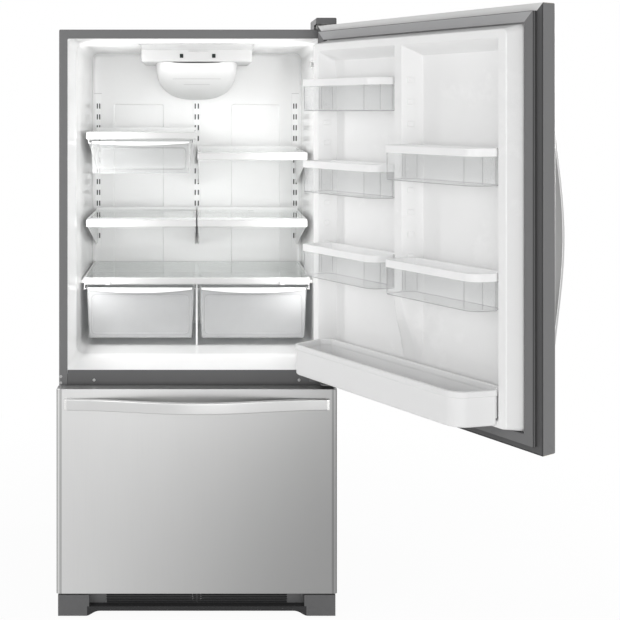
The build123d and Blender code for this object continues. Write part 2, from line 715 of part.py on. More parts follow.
def slider(x):
    """A small knob with a neck through the trim's slot and a keeper behind it."""
    w = slider_w / 2
    block((x - w, x + w), (lid_y[0] - 5.3, lid_y[0] - 0.3), (slider_z - 5, slider_z + 5))
    block((x - w + 1, x + w - 1), (lid_y[0] - 0.3, lid_y[0] + 14.3), (slider_z - 1.6, slider_z + 1.6))
    block((x - w, x + w), (lid_y[0] + 14.3, lid_y[0] + 16.3), (slider_z - 4, slider_z + 3.5))


with BuildPart() as humidity_slider_left:
    slider(slider_x[0] + 0.5)
save(humidity_slider_left, "humidity_slider_left")

with BuildPart() as humidity_slider_right:
    slider(slider_x[1] - 0.5)
save(humidity_slider_right, "humidity_slider_right")

# ==== controls and light ====
ceiling_fall = (fresh_lip_top - fresh_back_top) / (fresh_back - lip_d)


def ceiling(y):
    """Height of the sloping ceiling at a depth."""
    return fresh_lip_top - ceiling_fall * (y - lip_d)


housing_side = (
    (housing_front, ceiling(housing_front) - 0.3),
    (housing_fold, housing_low + 38),
    (housing_face, housing_low),
    (housing_back, housing_low),
    (housing_back, ceiling(housing_back) - 0.3),
)
housing_core = (
    (housing_front + 30, ceiling(housing_front + 30) + 5),
    (housing_fold + 4, housing_low + 39),
    (housing_face + 1.7, housing_low + 2.5),
    (housing_back - 3, housing_low + 2.5),
    (housing_back - 3, ceiling(housing_back) + 5),
)
face_slope = (housing_face - housing_fold) / 38.0


def fascia(z):
    """Depth of the leaning control face at a height."""
    return housing_face - (z - housing_low) * face_slope


def fascia_panel(x, z, size, near, far):
    """A leaning plate on the control face, from one distance off the face to another."""
    h = size[1] / 2
    outline = (
        (fascia(z - h) - far, z - h), (fascia(z + h) - far, z + h),
        (fascia(z + h) - near, z + h), (fascia(z - h) - near, z - h),
    )
    profile_across(outline, (x - size[0] / 2, x + size[0] / 2))


def fascia_hole(x, z, size):
    """A square hole through the control face."""
    block(
        (x - size[0] / 2, x + size[0] / 2), (housing_fold - 8, housing_face + 12),
        (z - size[1] / 2, z + size[1] / 2), Mode.SUBTRACT,
    )


with BuildPart() as control_housing:
    profile_across(housing_side, (-housing_half, housing_half))
    fillet(control_housing.edges().filter_by(Axis.X).group_by(Axis.Z)[0].sort_by(Axis.Y)[0], 4.0)
    profile_across(housing_core, (-housing_half + 2.5, housing_half - 2.5), Mode.SUBTRACT)
    for x in window_x:
        fascia_hole(x, window_z, window_size)
    for x in button_x:
        fascia_hole(x, button_z, (button_size[0] + 0.8, button_size[1] + 0.8))
save(control_housing, "control_housing")

with BuildPart() as control_windows:
    for x in window_x:
        fascia_panel(x, window_z, (window_size[0] - 0.1, window_size[1] - 0.1), -2.4, -0.2)
save(control_windows, "control_windows")

with BuildPart() as control_button_left:
    fascia_panel(button_x[0], button_z, button_size, -4.0, button_proud)
save(control_button_left, "control_button_left")

with BuildPart() as control_button_right:
    fascia_panel(button_x[1], button_z, button_size, -4.0, button_proud)
save(control_button_right, "control_button_right")

light_top = housing_low - 0.3


def light_front(grow):
    """The U outline of the light cover, seen from the front."""
    w = light_half + grow
    with BuildLine() as outline:
        Line((-w, light_top), (w, light_top))
        Bezier((w, light_top), (w - 22, light_top - 90), (80, light_low - grow), (0, light_low - grow))
        Bezier(
            (0, light_low - grow), (-80, light_low - grow), (-w + 22, light_top - 90), (-w, light_top)
        )
    make_face(outline.edges())


def light_side(grow):
    """The side outline of the light cover, from the fascia's foot down to the back wall."""
    front = housing_face + 10 - grow
    back = fresh_back - 4
    with BuildLine() as outline:
        Line((front, light_top + 1), (back, light_top + 1))
        Line((back, light_top + 1), (back, light_low - grow - 1))
        Bezier(
            (back, light_low - grow - 1), (back - 111, light_low - grow),
            (front, 1575 - grow), (front, light_top + 1),
        )
    make_face(outline.edges())


with BuildPart() as light_core:
    with BuildSketch(Plane.XZ.offset(-housing_face + 10)):
        light_front(-light_wall)
    extrude(amount=-(fresh_back - housing_face))
    with BuildSketch(Plane.YZ.offset(-light_half - 20)):
        light_side(-light_wall)
    extrude(amount=2 * light_half + 40, mode=Mode.INTERSECT)

with BuildPart() as light_cover:
    with BuildSketch(Plane.XZ.offset(-housing_face + 10)):
        light_front(0.0)
    extrude(amount=-(fresh_back - 4 - housing_face + 10))
    with BuildSketch(Plane.YZ.offset(-light_half - 20)):
        light_side(0.0)
    extrude(amount=2 * light_half + 40, mode=Mode.INTERSECT)
    add(light_core.part, mode=Mode.SUBTRACT)
    for z, w in ((1621.0, 62.0), (1604.0, 86.0), (1587.0, 60.0)):
        block((-w, w), (housing_face, 400), (z - 1.5, z + 1.5), Mode.SUBTRACT)
save(light_cover, "light_cover")

with BuildPart() as light_bulb:
    rod((0, bulb_y, housing_low), (0, 0, -1), 15, 17)
    rod((0, bulb_y, housing_low - 17.0), (0, 0, -1), 11, 8)
    with Locations((0, bulb_y, bulb_z - 10)):
        Sphere(20)
save(light_bulb, "light_bulb")

with BuildPart() as light_switch:
    rod((dike_half - 4, switch_y, switch_z), (0, 1, 0), switch_r, 30 - switch_travel - 2)
    chamfer(light_switch.edges().group_by(Axis.Y)[0], 0.8)
save(light_switch, "light_switch")

# ==== hinges ====
arm_low = door_top + 2.5
with BuildPart() as top_hinge:
    block((hinge_x - 32, half - 4), (14, 96), (cab_top, cab_top + hinge_plate))
    block((hinge_x - 32, half - 4), (6, 14), (cab_top, arm_low + hinge_plate))
    block((hinge_x - 20, half - 6), (hinge_y - 14, 14), (arm_low, arm_low + hinge_plate))
    fillet(top_hinge.edges().filter_by(Axis.Z).group_by(Axis.Y)[0], 9.0)
    rod((hinge_x, hinge_y, arm_low + 0.5), (0, 0, -1), pin_r, 20)
    for y in (36.0, 78.0):
        rod((hinge_x, y, cab_top + hinge_plate), (0, 0, 1), 6, 4)
save(top_hinge, "top_hinge")

with BuildPart() as top_hinge_cover:
    block((hinge_x - 38, half), (hinge_y - 20, 104), (cab_top, cab_top + 31))
    fillet(top_hinge_cover.edges().filter_by(Axis.Z), 8.0)
    fillet(top_hinge_cover.faces().sort_by(Axis.Z)[-1].edges(), 4.0)
    block((hinge_x - 36, half - 2), (hinge_y - 18, 102), (cab_top - 1, cab_top + 29), Mode.SUBTRACT)
    block((hinge_x - 40, half + 1), (hinge_y - 21, 2), (cab_top - 1, arm_low + 0.5), Mode.SUBTRACT)
save(top_hinge_cover, "top_hinge_cover")

centre_arm = 679.5
with BuildPart() as centre_hinge:
    block((hinge_x - 52, half - 2), (-3, 0), (centre_arm, 704.0))
    block((hinge_x - 22, half - 6), (hinge_y - 14, -1), (centre_arm, centre_arm + hinge_plate))
    fillet(centre_hinge.edges().filter_by(Axis.Z).group_by(Axis.Y)[0], 9.0)
    rod((hinge_x, hinge_y, centre_arm + 1), (0, 0, 1), pin_r, 28)
    spacer_h = door_low - hang_gap - centre_arm - hinge_plate
    rod((hinge_x, hinge_y, centre_arm + hinge_plate - 0.5), (0, 0, 1), 10, spacer_h + 0.5)
    for x, z in hinge_screws:
        rod((x, -4, z), (0, 1, 0), 2.2, 5, Mode.SUBTRACT)
save(centre_hinge, "centre_hinge")

with BuildPart() as screws:
    heads = [(x, 0.0, z) for x, z in (*flange_screws, *mullion_screws)]
    for x, y, z in heads + [(x, -3.0, z) for x, z in hinge_screws]:
        rod((x, y, z), (0, -1, 0), 4.5, 2.5)
        rod((x, y - 1, z), (0, 1, 0), 2.0, 10)
save(screws, "screws")


# ==== door, built as closed and swung to its rest angle ====
def pan_skin(z0, z1):
    """A folded steel door box: front and four sides, before it is hollowed."""
    block((-half, half), (door_face, -gasket_gap), (z0, z1))


def hollow_skin(z0, z1):
    """Hollows a door box and opens its inner face inside the return."""
    block(
        (-half + sheet, half - sheet), (door_face + door_edge_r, -gasket_gap - sheet),
        (z0 + sheet, z1 - sheet), Mode.SUBTRACT,
    )
    inner = half - door_edge_r
    block(
        (-inner, inner), (door_face + sheet, door_face + door_edge_r + 1), (z0 + sheet, z1 - sheet),
        Mode.SUBTRACT,
    )
    block(
        (-gasket_out, gasket_out), (-gasket_gap - 3, -gasket_gap + 1),
        (z0 + door_return, z1 - door_return), Mode.SUBTRACT,
    )


def door_filling(z0, z1):
    """The insulation inside a door box, up to the liner's rim."""
    block(
        (-half + sheet, half - sheet), (door_face + door_edge_r, -gasket_gap - 1.5),
        (z0 + sheet, z1 - sheet),
    )
    inner = half - door_edge_r
    block((-inner, inner), (door_face + sheet, door_face + door_edge_r), (z0 + sheet, z1 - sheet))


def front_uprights(piece, toward_front):
    """The two upright front edges of a door box."""
    return piece.edges().filter_by(Axis.Z).group_by(toward_front)[0]


door_depth = Axis((0, 0, 0), tuple(door_frame.y_dir))

with BuildPart(door_frame) as door_skin:
    pan_skin(door_low, door_top)
    fillet(front_uprights(door_skin, door_depth), door_edge_r)
    hollow_skin(door_low, door_top)
    hinge_rod((door_low - 1, door_low + 3), bush_r, Mode.SUBTRACT)
    hinge_rod((door_top - 3, door_top + 1), bush_r, Mode.SUBTRACT)
save(door_skin, "door_skin")

with BuildPart(door_frame) as door_hinge_bushes:
    hinge_rod((door_low, door_low + bush_len), bush_r)
    hinge_rod((door_low - 1, door_low + bush_len + 1), pin_r + pin_fit, Mode.SUBTRACT)
    hinge_rod((door_top - bush_len, door_top), bush_r)
    hinge_rod((door_top - bush_len - 1, door_top + 1), pin_r + pin_fit, Mode.SUBTRACT)
save(door_hinge_bushes, "door_hinge_bushes")

liner_rim = (door_low + door_return + gasket_w, door_top - door_return - gasket_w)


def dike(inset, turn):
    """The raised form of the door liner, drawn in by an inset: a recess with a centre rib in its upper part."""
    base = (-gasket_gap, -gasket_in + inset, gasket_in - inset, liner_rim[0] + inset, liner_rim[1] - inset)
    crown = (dike_y - inset, -dike_half + inset, dike_half - inset, dike_low + inset, dike_high - inset)
    funnel(base, crown, 16.0 - inset, turn)
    floor = recess_y - inset
    slim = recess_draft * (dike_y - floor) / (dike_y - recess_y)
    half, low, high = recess_half + inset, recess_low - inset, recess_high + inset
    opening = (dike_y, -half, half, low, high)
    bottom = (floor, slim - half, half - slim, low + 8, high - 14)
    funnel(opening, bottom, recess_corner, turn, Mode.SUBTRACT)
    half, low, high = rib_half - inset, rib_low + inset, recess_high + 8
    ridge = (dike_y - inset, rib_x - half, rib_x + half, low, high)
    foot_half = half + recess_draft * (dike_y - inset - floor) / (dike_y - recess_y)
    foot = (floor, rib_x - foot_half, rib_x + foot_half, low - rib_run, high)
    funnel(foot, ridge, rib_corner, turn)


def bosses(span, tops):
    """Bosses on both leaning walls beside a column of bins, on the bin pitch."""
    lean = recess_draft / (dike_y - recess_y)
    y = (bin_back + 6, bin_back + 6 + boss_size)
    inset = lean * (dike_y - y[0])
    for z in tops:
        for edge, inward in ((span[0], 1), (span[1], -1)):
            outline = (
                (edge - inward * 1.5 + inward * inset, y[0]),
                (edge + inward * (inset + boss_proud), y[0]),
                (edge + inward * (inset + boss_proud - lean * boss_size), y[1]),
                (edge - inward * 1.5 + inward * (inset - lean * boss_size), y[1]),
            )
            slab(outline, (z - boss_size / 2, z + boss_size / 2), turn=door_turn)


left_recess = (rib_x + rib_half, recess_half)
right_recess = (-recess_half, rib_x - rib_half)


def liner_mouth(rim, turn, mode):
    """The opening through a liner's flat rim, behind its raised form."""
    with BuildSketch(placed(Plane.XZ.offset(gasket_gap + 1.5), turn)) as opening:
        with Locations((0, (rim[0] + rim[1]) / 2)):
            wide = 2 * (gasket_in - liner_t)
            RectangleRounded(wide, rim[1] - rim[0] - 2 * liner_t, 16.0 - liner_t)
    extrude(opening.sketch, amount=-1.5, mode=mode)


def liner_flange(z0, z1, turn):
    """The flat rim of a liner that lies under the gasket."""
    with BuildSketch(placed(Plane.XZ.offset(gasket_gap + 1.5), turn)) as flange:
        with Locations((0, (z0 + z1) / 2)):
            Rectangle(2 * gasket_out - 2, z1 - z0 - 2 * door_return - 2)
    extrude(flange.sketch, amount=-1.5)


with BuildPart() as liner_core:
    dike(liner_t, still)

with BuildPart(door_frame) as door_liner:
    dike(0.0, door_turn)
    liner_flange(door_low, door_top, door_turn)
    add(liner_core.part, mode=Mode.SUBTRACT)
    liner_mouth(liner_rim, door_turn, Mode.SUBTRACT)
    bosses(left_recess, [boss_top - boss_pitch * k for k in range(9)])
    bosses(right_recess, [boss_top - boss_pitch * k for k in range(9)])
save(door_liner, "door_liner")

with BuildPart(door_frame) as door_foam:
    door_filling(door_low, door_top)
    add(liner_core.part)
    liner_mouth(liner_rim, door_turn, Mode.ADD)
    hinge_rod((door_low, door_low + bush_len), bush_r, Mode.SUBTRACT)
    hinge_rod((door_top - bush_len, door_top), bush_r, Mode.SUBTRACT)
save(door_foam, "door_foam")


def gasket(z0, z1, turn):
    """A ring seal: flat base, sealing bulb near the outside and a low inner fin."""
    reach = gasket_reach - gasket_gap
    rings = (
        (gasket_out - 2, gasket_in + 0.4, -gasket_gap, -gasket_gap + 5),
        (gasket_out - 2, gasket_out - 13, -gasket_gap + 5, reach),
        (gasket_out - 18, gasket_out - 22, -gasket_gap + 5, -gasket_gap + 9),
    )
    for outer, inner, y0, y1 in rings:
        out_gap = gasket_out - outer
        in_gap = gasket_out - inner
        with BuildSketch(placed(Plane.XZ.offset(-y0), turn)) as ring:
            with Locations((0, (z0 + z1) / 2)):
                Rectangle(2 * outer, z1 - z0 - 2 * (door_return + out_gap))
                Rectangle(2 * inner, z1 - z0 - 2 * (door_return + in_gap), mode=Mode.SUBTRACT)
        extrude(ring.sketch, amount=-(y1 - y0))


with BuildPart(door_frame) as door_gasket:
    gasket(door_low, door_top, door_turn)
save(door_gasket, "door_gasket")


def bow(t):
    """How far the handle stands out at a place along its half length, from -1 to 1."""
    return handle_bow / 2 * (1 + cos(pi * t))


bow_steps = [k / 6 for k in range(-6, 7)]
half_len = handle_len / 2


def handle_curve(face, stand, centre):
    """Points of one side of the bow, at a stand-off from the door's face."""
    return [(centre + t * half_len, face - stand - bow(t)) for t in bow_steps]


def handle_face(outer, inner):
    """The closed outline between the outer and the inner curve of a handle."""
    along = (1, 0) if outer[0][0] < outer[-1][0] - 1 else (0, 1)
    with BuildLine() as outline:
        Spline(*outer, tangents=(along, along))
        Spline(*inner, tangents=(along, along))
        Line(outer[0], inner[0])
        Line(outer[-1], inner[-1])
    make_face(outline.edges())


with BuildPart() as drawer_handle:
    with BuildSketch(Plane.XY.offset(drawer_handle_z - handle_w / 2)):
        handle_face(handle_curve(door_face, handle_t, 0.0), handle_curve(door_face, 0.0, 0.0))
    extrude(amount=handle_w)
    long_edges = drawer_handle.edges().filter_by(GeomType.BSPLINE)
    fillet(long_edges.group_by(Axis.Y)[0], 3.0)
save(drawer_handle, "drawer_handle")

handle_x = -half + door_handle_edge
with BuildPart(door_frame) as door_handle:
    outer = [(y, z) for z, y in handle_curve(door_face, handle_t, door_handle_z)]
    inner = [(y, z) for z, y in handle_curve(door_face, 0.0, door_handle_z)]
    with BuildSketch(placed(Plane.YZ.offset(handle_x), door_turn)):
        handle_face(outer, inner)
    extrude(amount=handle_w)
    long_edges = door_handle.edges().filter_by(GeomType.BSPLINE)
    fillet(long_edges.group_by(door_depth)[0], 3.0)
save(door_handle, "door_handle")


# ==== door bins ====
lean = recess_draft / (dike_y - recess_y)


def bin_outline(span, wall, front, back, noses):
    """Level outline of a bin hung between two leaning walls, drawn in by a wall; noses cut its front corners."""
    side = boss_proud + hang_gap
    x0, x1 = span[0] + wall, span[1] - wall
    deep = lean * (dike_y - back) + side
    return (
        (x0 + deep, back + wall), (x0 + side, dike_y), (x0 + noses[0], front - wall),
        (x1 - noses[1], front - wall), (x1 - side, dike_y), (x1 - deep, back + wall),
    )


def round_noses(plan, wall, radii):
    """Rounds a bin's two front corners, the free side's first."""
    for corner, radius in zip(plan.vertices().group_by(Axis.Y)[-1].sort_by(Axis.X), radii):
        fillet(plan.vertices().sort_by_distance(corner)[0], max(radius - wall, 1.5))


def door_bin(span, top):
    """One open bin: a slim body under a thick rim, with rounded front corners."""
    low = top - bin_h
    rim = top - bin_rim_h
    for wall, z, mode in (
        (2.0, (low, rim), Mode.ADD),
        (0.0, (rim, top), Mode.ADD),
        (2.0 + bin_wall, (low + bin_wall, rim), Mode.SUBTRACT),
        (bin_rim_wall, (rim - 0.01, top + 1), Mode.SUBTRACT),
    ):
        with BuildSketch(placed(Plane.XY.offset(z[0]), door_turn)) as plan:
            with BuildLine():
                Polyline(*bin_outline(span, wall, bin_front, bin_back, bin_noses), close=True)
            make_face()
            round_noses(plan, wall, bin_corners)
        extrude(plan.sketch, amount=z[1] - z[0], mode=mode)


with BuildPart(door_frame) as door_bins_left:
    for top in bin_left_tops:
        door_bin(left_recess, top)
save(door_bins_left, "door_bins_left")

with BuildPart(door_frame) as door_bins_right:
    for top in bin_right_tops:
        door_bin(right_recess, top)
save(door_bins_right, "door_bins_right")


def gallon_plan(wall, z, mode, from_dike):
    """One level layer of the gallon bin, over its whole plan or only in front of the border."""
    span = (-recess_half, recess_half)
    points = bin_outline(span, wall, gallon_front, bin_back, gallon_noses)
    if from_dike:
        front_y = dike_y + hang_gap + wall
        near = (points[1][0], front_y), points[2], points[3], (points[4][0], front_y)
        points = near
    with BuildSketch(placed(Plane.XY.offset(z[0]), door_turn)) as plan:
        with BuildLine():
            Polyline(*points, close=True)
        make_face()
        round_noses(plan, wall, gallon_corners)
    extrude(plan.sketch, amount=z[1] - z[0], mode=mode)


with BuildPart(door_frame) as gallon_bin:
    gallon_plan(0.0, (gallon_low, gallon_top), Mode.ADD, False)
    gallon_plan(0.0, (gallon_skirt, gallon_low), Mode.ADD, True)
    gallon_plan(gallon_wall, (gallon_low + gallon_wall, gallon_top + 1), Mode.SUBTRACT, False)
    below = (gallon_skirt + gallon_wall, gallon_low + gallon_wall + 0.01)
    gallon_plan(gallon_wall, below, Mode.SUBTRACT, True)
save(gallon_bin, "gallon_bin")

# ==== freezer drawer ====
with BuildPart() as drawer_skin:
    pan_skin(drawer_low, drawer_top)
    fillet(front_uprights(drawer_skin, Axis.Y), door_edge_r)
    hollow_skin(drawer_low, drawer_top)
save(drawer_skin, "drawer_skin")

drawer_rim = (drawer_low + door_return + gasket_w, drawer_top - door_return - gasket_w)


def drawer_dike(inset):
    """The raised form of the freezer drawer's inner liner, drawn in by an inset."""
    low, high = drawer_rim[0] + inset, drawer_rim[1] - inset
    base = (-gasket_gap, -gasket_in + inset, gasket_in - inset, low, high)
    crown = (
        drawer_dike_y - inset, -dike_half + 30 + inset, dike_half - 30 - inset,
        low + 14, high - 10,
    )
    funnel(base, crown, 16.0 - inset)


with BuildPart() as drawer_core:
    drawer_dike(liner_t)

with BuildPart() as drawer_liner:
    drawer_dike(0.0)
    liner_flange(drawer_low, drawer_top, still)
    add(drawer_core.part, mode=Mode.SUBTRACT)
    liner_mouth(drawer_rim, still, Mode.SUBTRACT)
save(drawer_liner, "drawer_liner")

with BuildPart() as drawer_foam:
    door_filling(drawer_low, drawer_top)
    add(drawer_core.part)
    liner_mouth(drawer_rim, still, Mode.ADD)
save(drawer_foam, "drawer_foam")

with BuildPart() as drawer_gasket:
    gasket(drawer_low, drawer_top, still)
save(drawer_gasket, "drawer_gasket")

slide_x = [fresh_half - k * (slide_t + slide_gap) for k in range(4)]


def slide_pair(step, y):
    """One member of the telescoping slides, left and right."""
    for side in (-1, 1):
        x = sorted((side * slide_x[step], side * (slide_x[step] - slide_t)))
        block(x, y, slide_z)
        groove = sorted((side * (slide_x[step] - 1.2), side * (slide_x[step] - slide_t + 1.2)))
        mid = (slide_z[0] + slide_z[1]) / 2
        block(groove, (y[0] - 1, y[1] + 1), (mid - 13, mid + 13), Mode.SUBTRACT)


with BuildPart() as slide_cabinet_members:
    slide_pair(0, (slide_front, slide_back))
save(slide_cabinet_members, "slide_cabinet_members")

with BuildPart() as slide_middle_members:
    slide_pair(1, (slide_front - 8, slide_back - 10))
save(slide_middle_members, "slide_middle_members")

frame_y = (drawer_dike_y + 0.3, slide_back - 20)
with BuildPart() as drawer_frame:
    slide_pair(2, (drawer_dike_y + 8, frame_y[1]))
    rail_x = slide_x[2] - slide_t
    for side in (-1, 1):
        upright = sorted((side * (rail_x - 3), side * (rail_x + 0.5)))
        block(upright, (drawer_dike_y + 8, drawer_dike_y + 40), (slide_z[0], tray_rail_top))
        block(upright, (frame_y[1] - 30, frame_y[1]), (slide_z[0], tray_rail_top))
        block(upright, (drawer_dike_y + 8, frame_y[1]), (tray_rail_top - 14, tray_rail_top))
        ledge = sorted((side * (bin_x + 3), side * (rail_x - 2)))
        block(ledge, (drawer_dike_y + 8, frame_y[1]), (tray_rail_top - 3, tray_rail_top))
        block(ledge, (drawer_dike_y + 8, freezer_bin_y[1] + 20), (slide_z[0] + 44, slide_z[0] + 47))
        hanger = sorted((side * (rail_x - 3), side * rail_x))
        block(hanger, (drawer_dike_y + 8, freezer_bin_y[1] + 20), (slide_z[1] - 4, slide_z[0] + 47))
        foot = sorted((side * (dike_half - 60), side * rail_x))
        block(foot, (drawer_dike_y, drawer_dike_y + 3), (slide_z[0], slide_z[1] + 60))
        gusset = sorted((side * (rail_x - 3), side * rail_x))
        block(gusset, (drawer_dike_y, drawer_dike_y + 10), (slide_z[0], slide_z[1] + 60))
save(drawer_frame, "drawer_frame")


def basket(x_half, y, z, flange, flange_drop):
    """An open storage bin with drafted walls, a side flange and a row of slots in each side."""
    tub((-x_half, x_half), y, z, 12.0, 26.0)
    inner_y = (y[0] + basket_wall, y[1] - basket_wall)
    tub(
        (-x_half + basket_wall, x_half - basket_wall), inner_y, (z[0] + basket_wall, z[1] + 0.01),
        12.0, 23.0, Mode.SUBTRACT,
    )
    for side in (-1, 1):
        rim = sorted((side * (x_half - basket_wall - 1), side * (x_half + flange)))
        block(rim, (y[0] + 30, y[1] - 30), (z[1] - flange_drop, z[1]))


with BuildPart() as freezer_bin:
    freezer_rim = slide_z[0] + 47 + hang_gap
    basket(bin_x, freezer_bin_y, (freezer_bin_z[0], freezer_rim + 3), 10.0, 3.0)
save(freezer_bin, "freezer_bin")

with BuildPart() as freezer_tray:
    basket(bin_x, tray_y, (tray_z[0], tray_rail_top + hang_gap + 3), 10.0, 3.0)
save(freezer_tray, "freezer_tray")

# ==== cooling system ====
evap_cover_z = (hump_z + 4, freezer_ceiling - 4)
with BuildPart() as evaporator_cover:
    block((-340, 340), (evap_cover_y, evap_cover_y + 2.5), evap_cover_z)
    for side in (-1, 1):
        skirt = sorted((side * 337.5, side * 340))
        block(skirt, (evap_cover_y, freezer_back), evap_cover_z)
    for row in range(5):
        z = evap_cover_z[0] + 14 + row * 12
        block((-240, 240), (evap_cover_y - 1, evap_cover_y + 3), (z, z + 5), Mode.SUBTRACT)
    with BuildSketch(Plane.XZ.offset(-evap_cover_y + 1)):
        with Locations((0, evap_fan_z)):
            with PolarLocations(30, 8):
                SlotOverall(26, 8)
    extrude(amount=-5, mode=Mode.SUBTRACT)
    rod((0, evap_cover_y + 2, evap_fan_z), (0, 1, 0), 12, 6)
    rod((0, evap_cover_y + 2, evap_fan_z), (0, 1, 0), 3, 24)
save(evaporator_cover, "evaporator_cover")


def fan(centre, axis, x_dir, depth, bore):
    """A bored hub with five pitched blades, turning about an axis."""
    hub = Plane(origin=centre, x_dir=x_dir, z_dir=axis)
    rod(centre, axis, fan_hub_r, depth)
    pitch = radians(30)
    for k in range(5):
        turn = radians(72 * k)
        out = hub.x_dir * cos(turn) + hub.y_dir * sin(turn)
        across = hub.y_dir * cos(turn) - hub.x_dir * sin(turn)
        chord = across * cos(pitch) + hub.z_dir * sin(pitch)
        root = hub.origin + hub.z_dir * (depth / 2) + out * (fan_hub_r - 3)
        with BuildSketch(Plane(origin=root, x_dir=chord, z_dir=out)) as section:
            Rectangle(26, 2)
        extrude(section.sketch, amount=fan_r - fan_hub_r)
    rod(hub.offset(-20).origin, axis, bore, depth + 40, Mode.SUBTRACT)


with BuildPart() as evaporator_fan:
    fan((0, evap_cover_y + 10, evap_fan_z), (0, 1, 0), (1, 0, 0), 16.0, 3.0 + pin_fit)
save(evaporator_fan, "evaporator_fan")

with BuildPart() as evaporator:
    fin_x = [(-250 + 20 * k) for k in range(26)]
    for x in fin_x:
        block((x - 0.6, x + 0.6), (evap_cover_y + 8, freezer_back - 4), (330, 500))
    for z in (345, 375, 405, 435, 465, 485):
        for y in (evap_cover_y + 22, evap_cover_y + 46):
            rod((-262, y, z), (1, 0, 0), 4, 524)
    for x in (-264.0, 262.0):
        block((x, x + 2), (evap_cover_y + 4, freezer_back - 0.3), (hump_z + 0.3, 506))
save(evaporator, "evaporator")

floor_z = pan_z - 34
with BuildPart() as compressor:
    with BuildSketch(Plane.XY.offset(floor_z + 26)):
        with Locations((compressor_x, machine_mid)):
            Ellipse(98, 70)
    extrude(amount=120)
    fillet(compressor.edges().group_by(Axis.Z)[-1], 34.0)
    fillet(compressor.edges().group_by(Axis.Z)[0], 14.0)
    foot_x = (compressor_x - 90, compressor_x + 90)
    block(foot_x, (machine_mid - 56, machine_mid + 56), (floor_z + 18, floor_z + 28))
    for x in (compressor_x - 76, compressor_x + 76):
        for y in (machine_mid - 42, machine_mid + 42):
            rod((x, y, floor_z), (0, 0, 1), 9, 19)
save(compressor, "compressor")

with BuildPart() as drain_pan:
    pan_x = (condenser_x[0] + 8, condenser_x[1] - 8)
    pan_y = (machine_y + 30, cab_d - 22)
    tub(pan_x, pan_y, (floor_z, floor_z + 26), 4.0, 12.0)
    inner_x = (pan_x[0] + 2, pan_x[1] - 2)
    inner_y = (pan_y[0] + 2, pan_y[1] - 2)
    tub(inner_x, inner_y, (floor_z + 2, floor_z + 27), 4.0, 10.0, Mode.SUBTRACT)
save(drain_pan, "drain_pan")

with BuildPart() as condenser:
    x0, x1 = condenser_x
    plate_y = (machine_mid - 70, machine_mid + 76)
    for x in (x0 + 12 + 12 * k for k in range(21)):
        block((x - 0.5, x + 0.5), (plate_y[0] + 6, plate_y[1] - 6), (floor_z + 44, floor_z + 190))
    for z in (60, 90, 120, 150, 175):
        for y in (condenser_mid - 43, condenser_mid, condenser_mid + 43):
            rod((x0 + 2, y, floor_z + z), (1, 0, 0), 3.5, x1 - x0 - 4)
    block((x0, x0 + 2), plate_y, (floor_z + 28, floor_z + 200))
    block((x1 - 2, x1), plate_y, (floor_z + 28, floor_z + 200))
    rod((x0 - 1, condenser_mid, condenser_fan_z), (1, 0, 0), fan_r + 5, 4, Mode.SUBTRACT)
    for y in (plate_y[0] + 2, plate_y[1] - 4):
        block((x0, x0 + 6), (y, y + 3), (floor_z, floor_z + 40))
        block((x1 - 6, x1), (y, y + 3), (floor_z, floor_z + 40))
    arm_z = (condenser_fan_z - 10, condenser_fan_z + 10)
    block((x0 - 34, x0 + 2), (plate_y[0] - 4, plate_y[0] + 2), arm_z)
    block((x0 - 34, x0 - 30), (plate_y[0] - 4, condenser_mid + 7), arm_z)
    rod((x0 - 34, condenser_mid, condenser_fan_z), (-1, 0, 0), 22, 26)
    rod((x0 - 30, condenser_mid, condenser_fan_z), (1, 0, 0), 3, 26)
save(condenser, "condenser")

with BuildPart() as condenser_fan:
    fan((x0 - 26, condenser_mid, condenser_fan_z), (1, 0, 0), (0, 1, 0), 16.0, 3.0 + pin_fit)
save(condenser_fan, "condenser_fan")

with BuildPart() as rear_cover:
    block((-half + 3.3, half - 3.3), (cab_d - 2.5, cab_d - 1), (pan_z - 33, machine_top - 0.3))
    for side in (-1, 1):
        for row in range(9):
            z = pan_z + 10 + row * 18
            gap = sorted((side * 60, side * 340))
            if side < 0:
                gap = sorted((side * 60, side * 250))
            block(gap, (cab_d - 4, cab_d), (z, z + 6), Mode.SUBTRACT)
    rod((-330, cab_d - 4, 110), (0, 1, 0), 12, 8)
    rod((-330, cab_d - 6, 110), (0, 1, 0), 6, 12, Mode.SUBTRACT)
save(rear_cover, "rear_cover")
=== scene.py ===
"""Bottom freezer refrigerator with its door open: modelled pieces, finishes, studio and camera."""

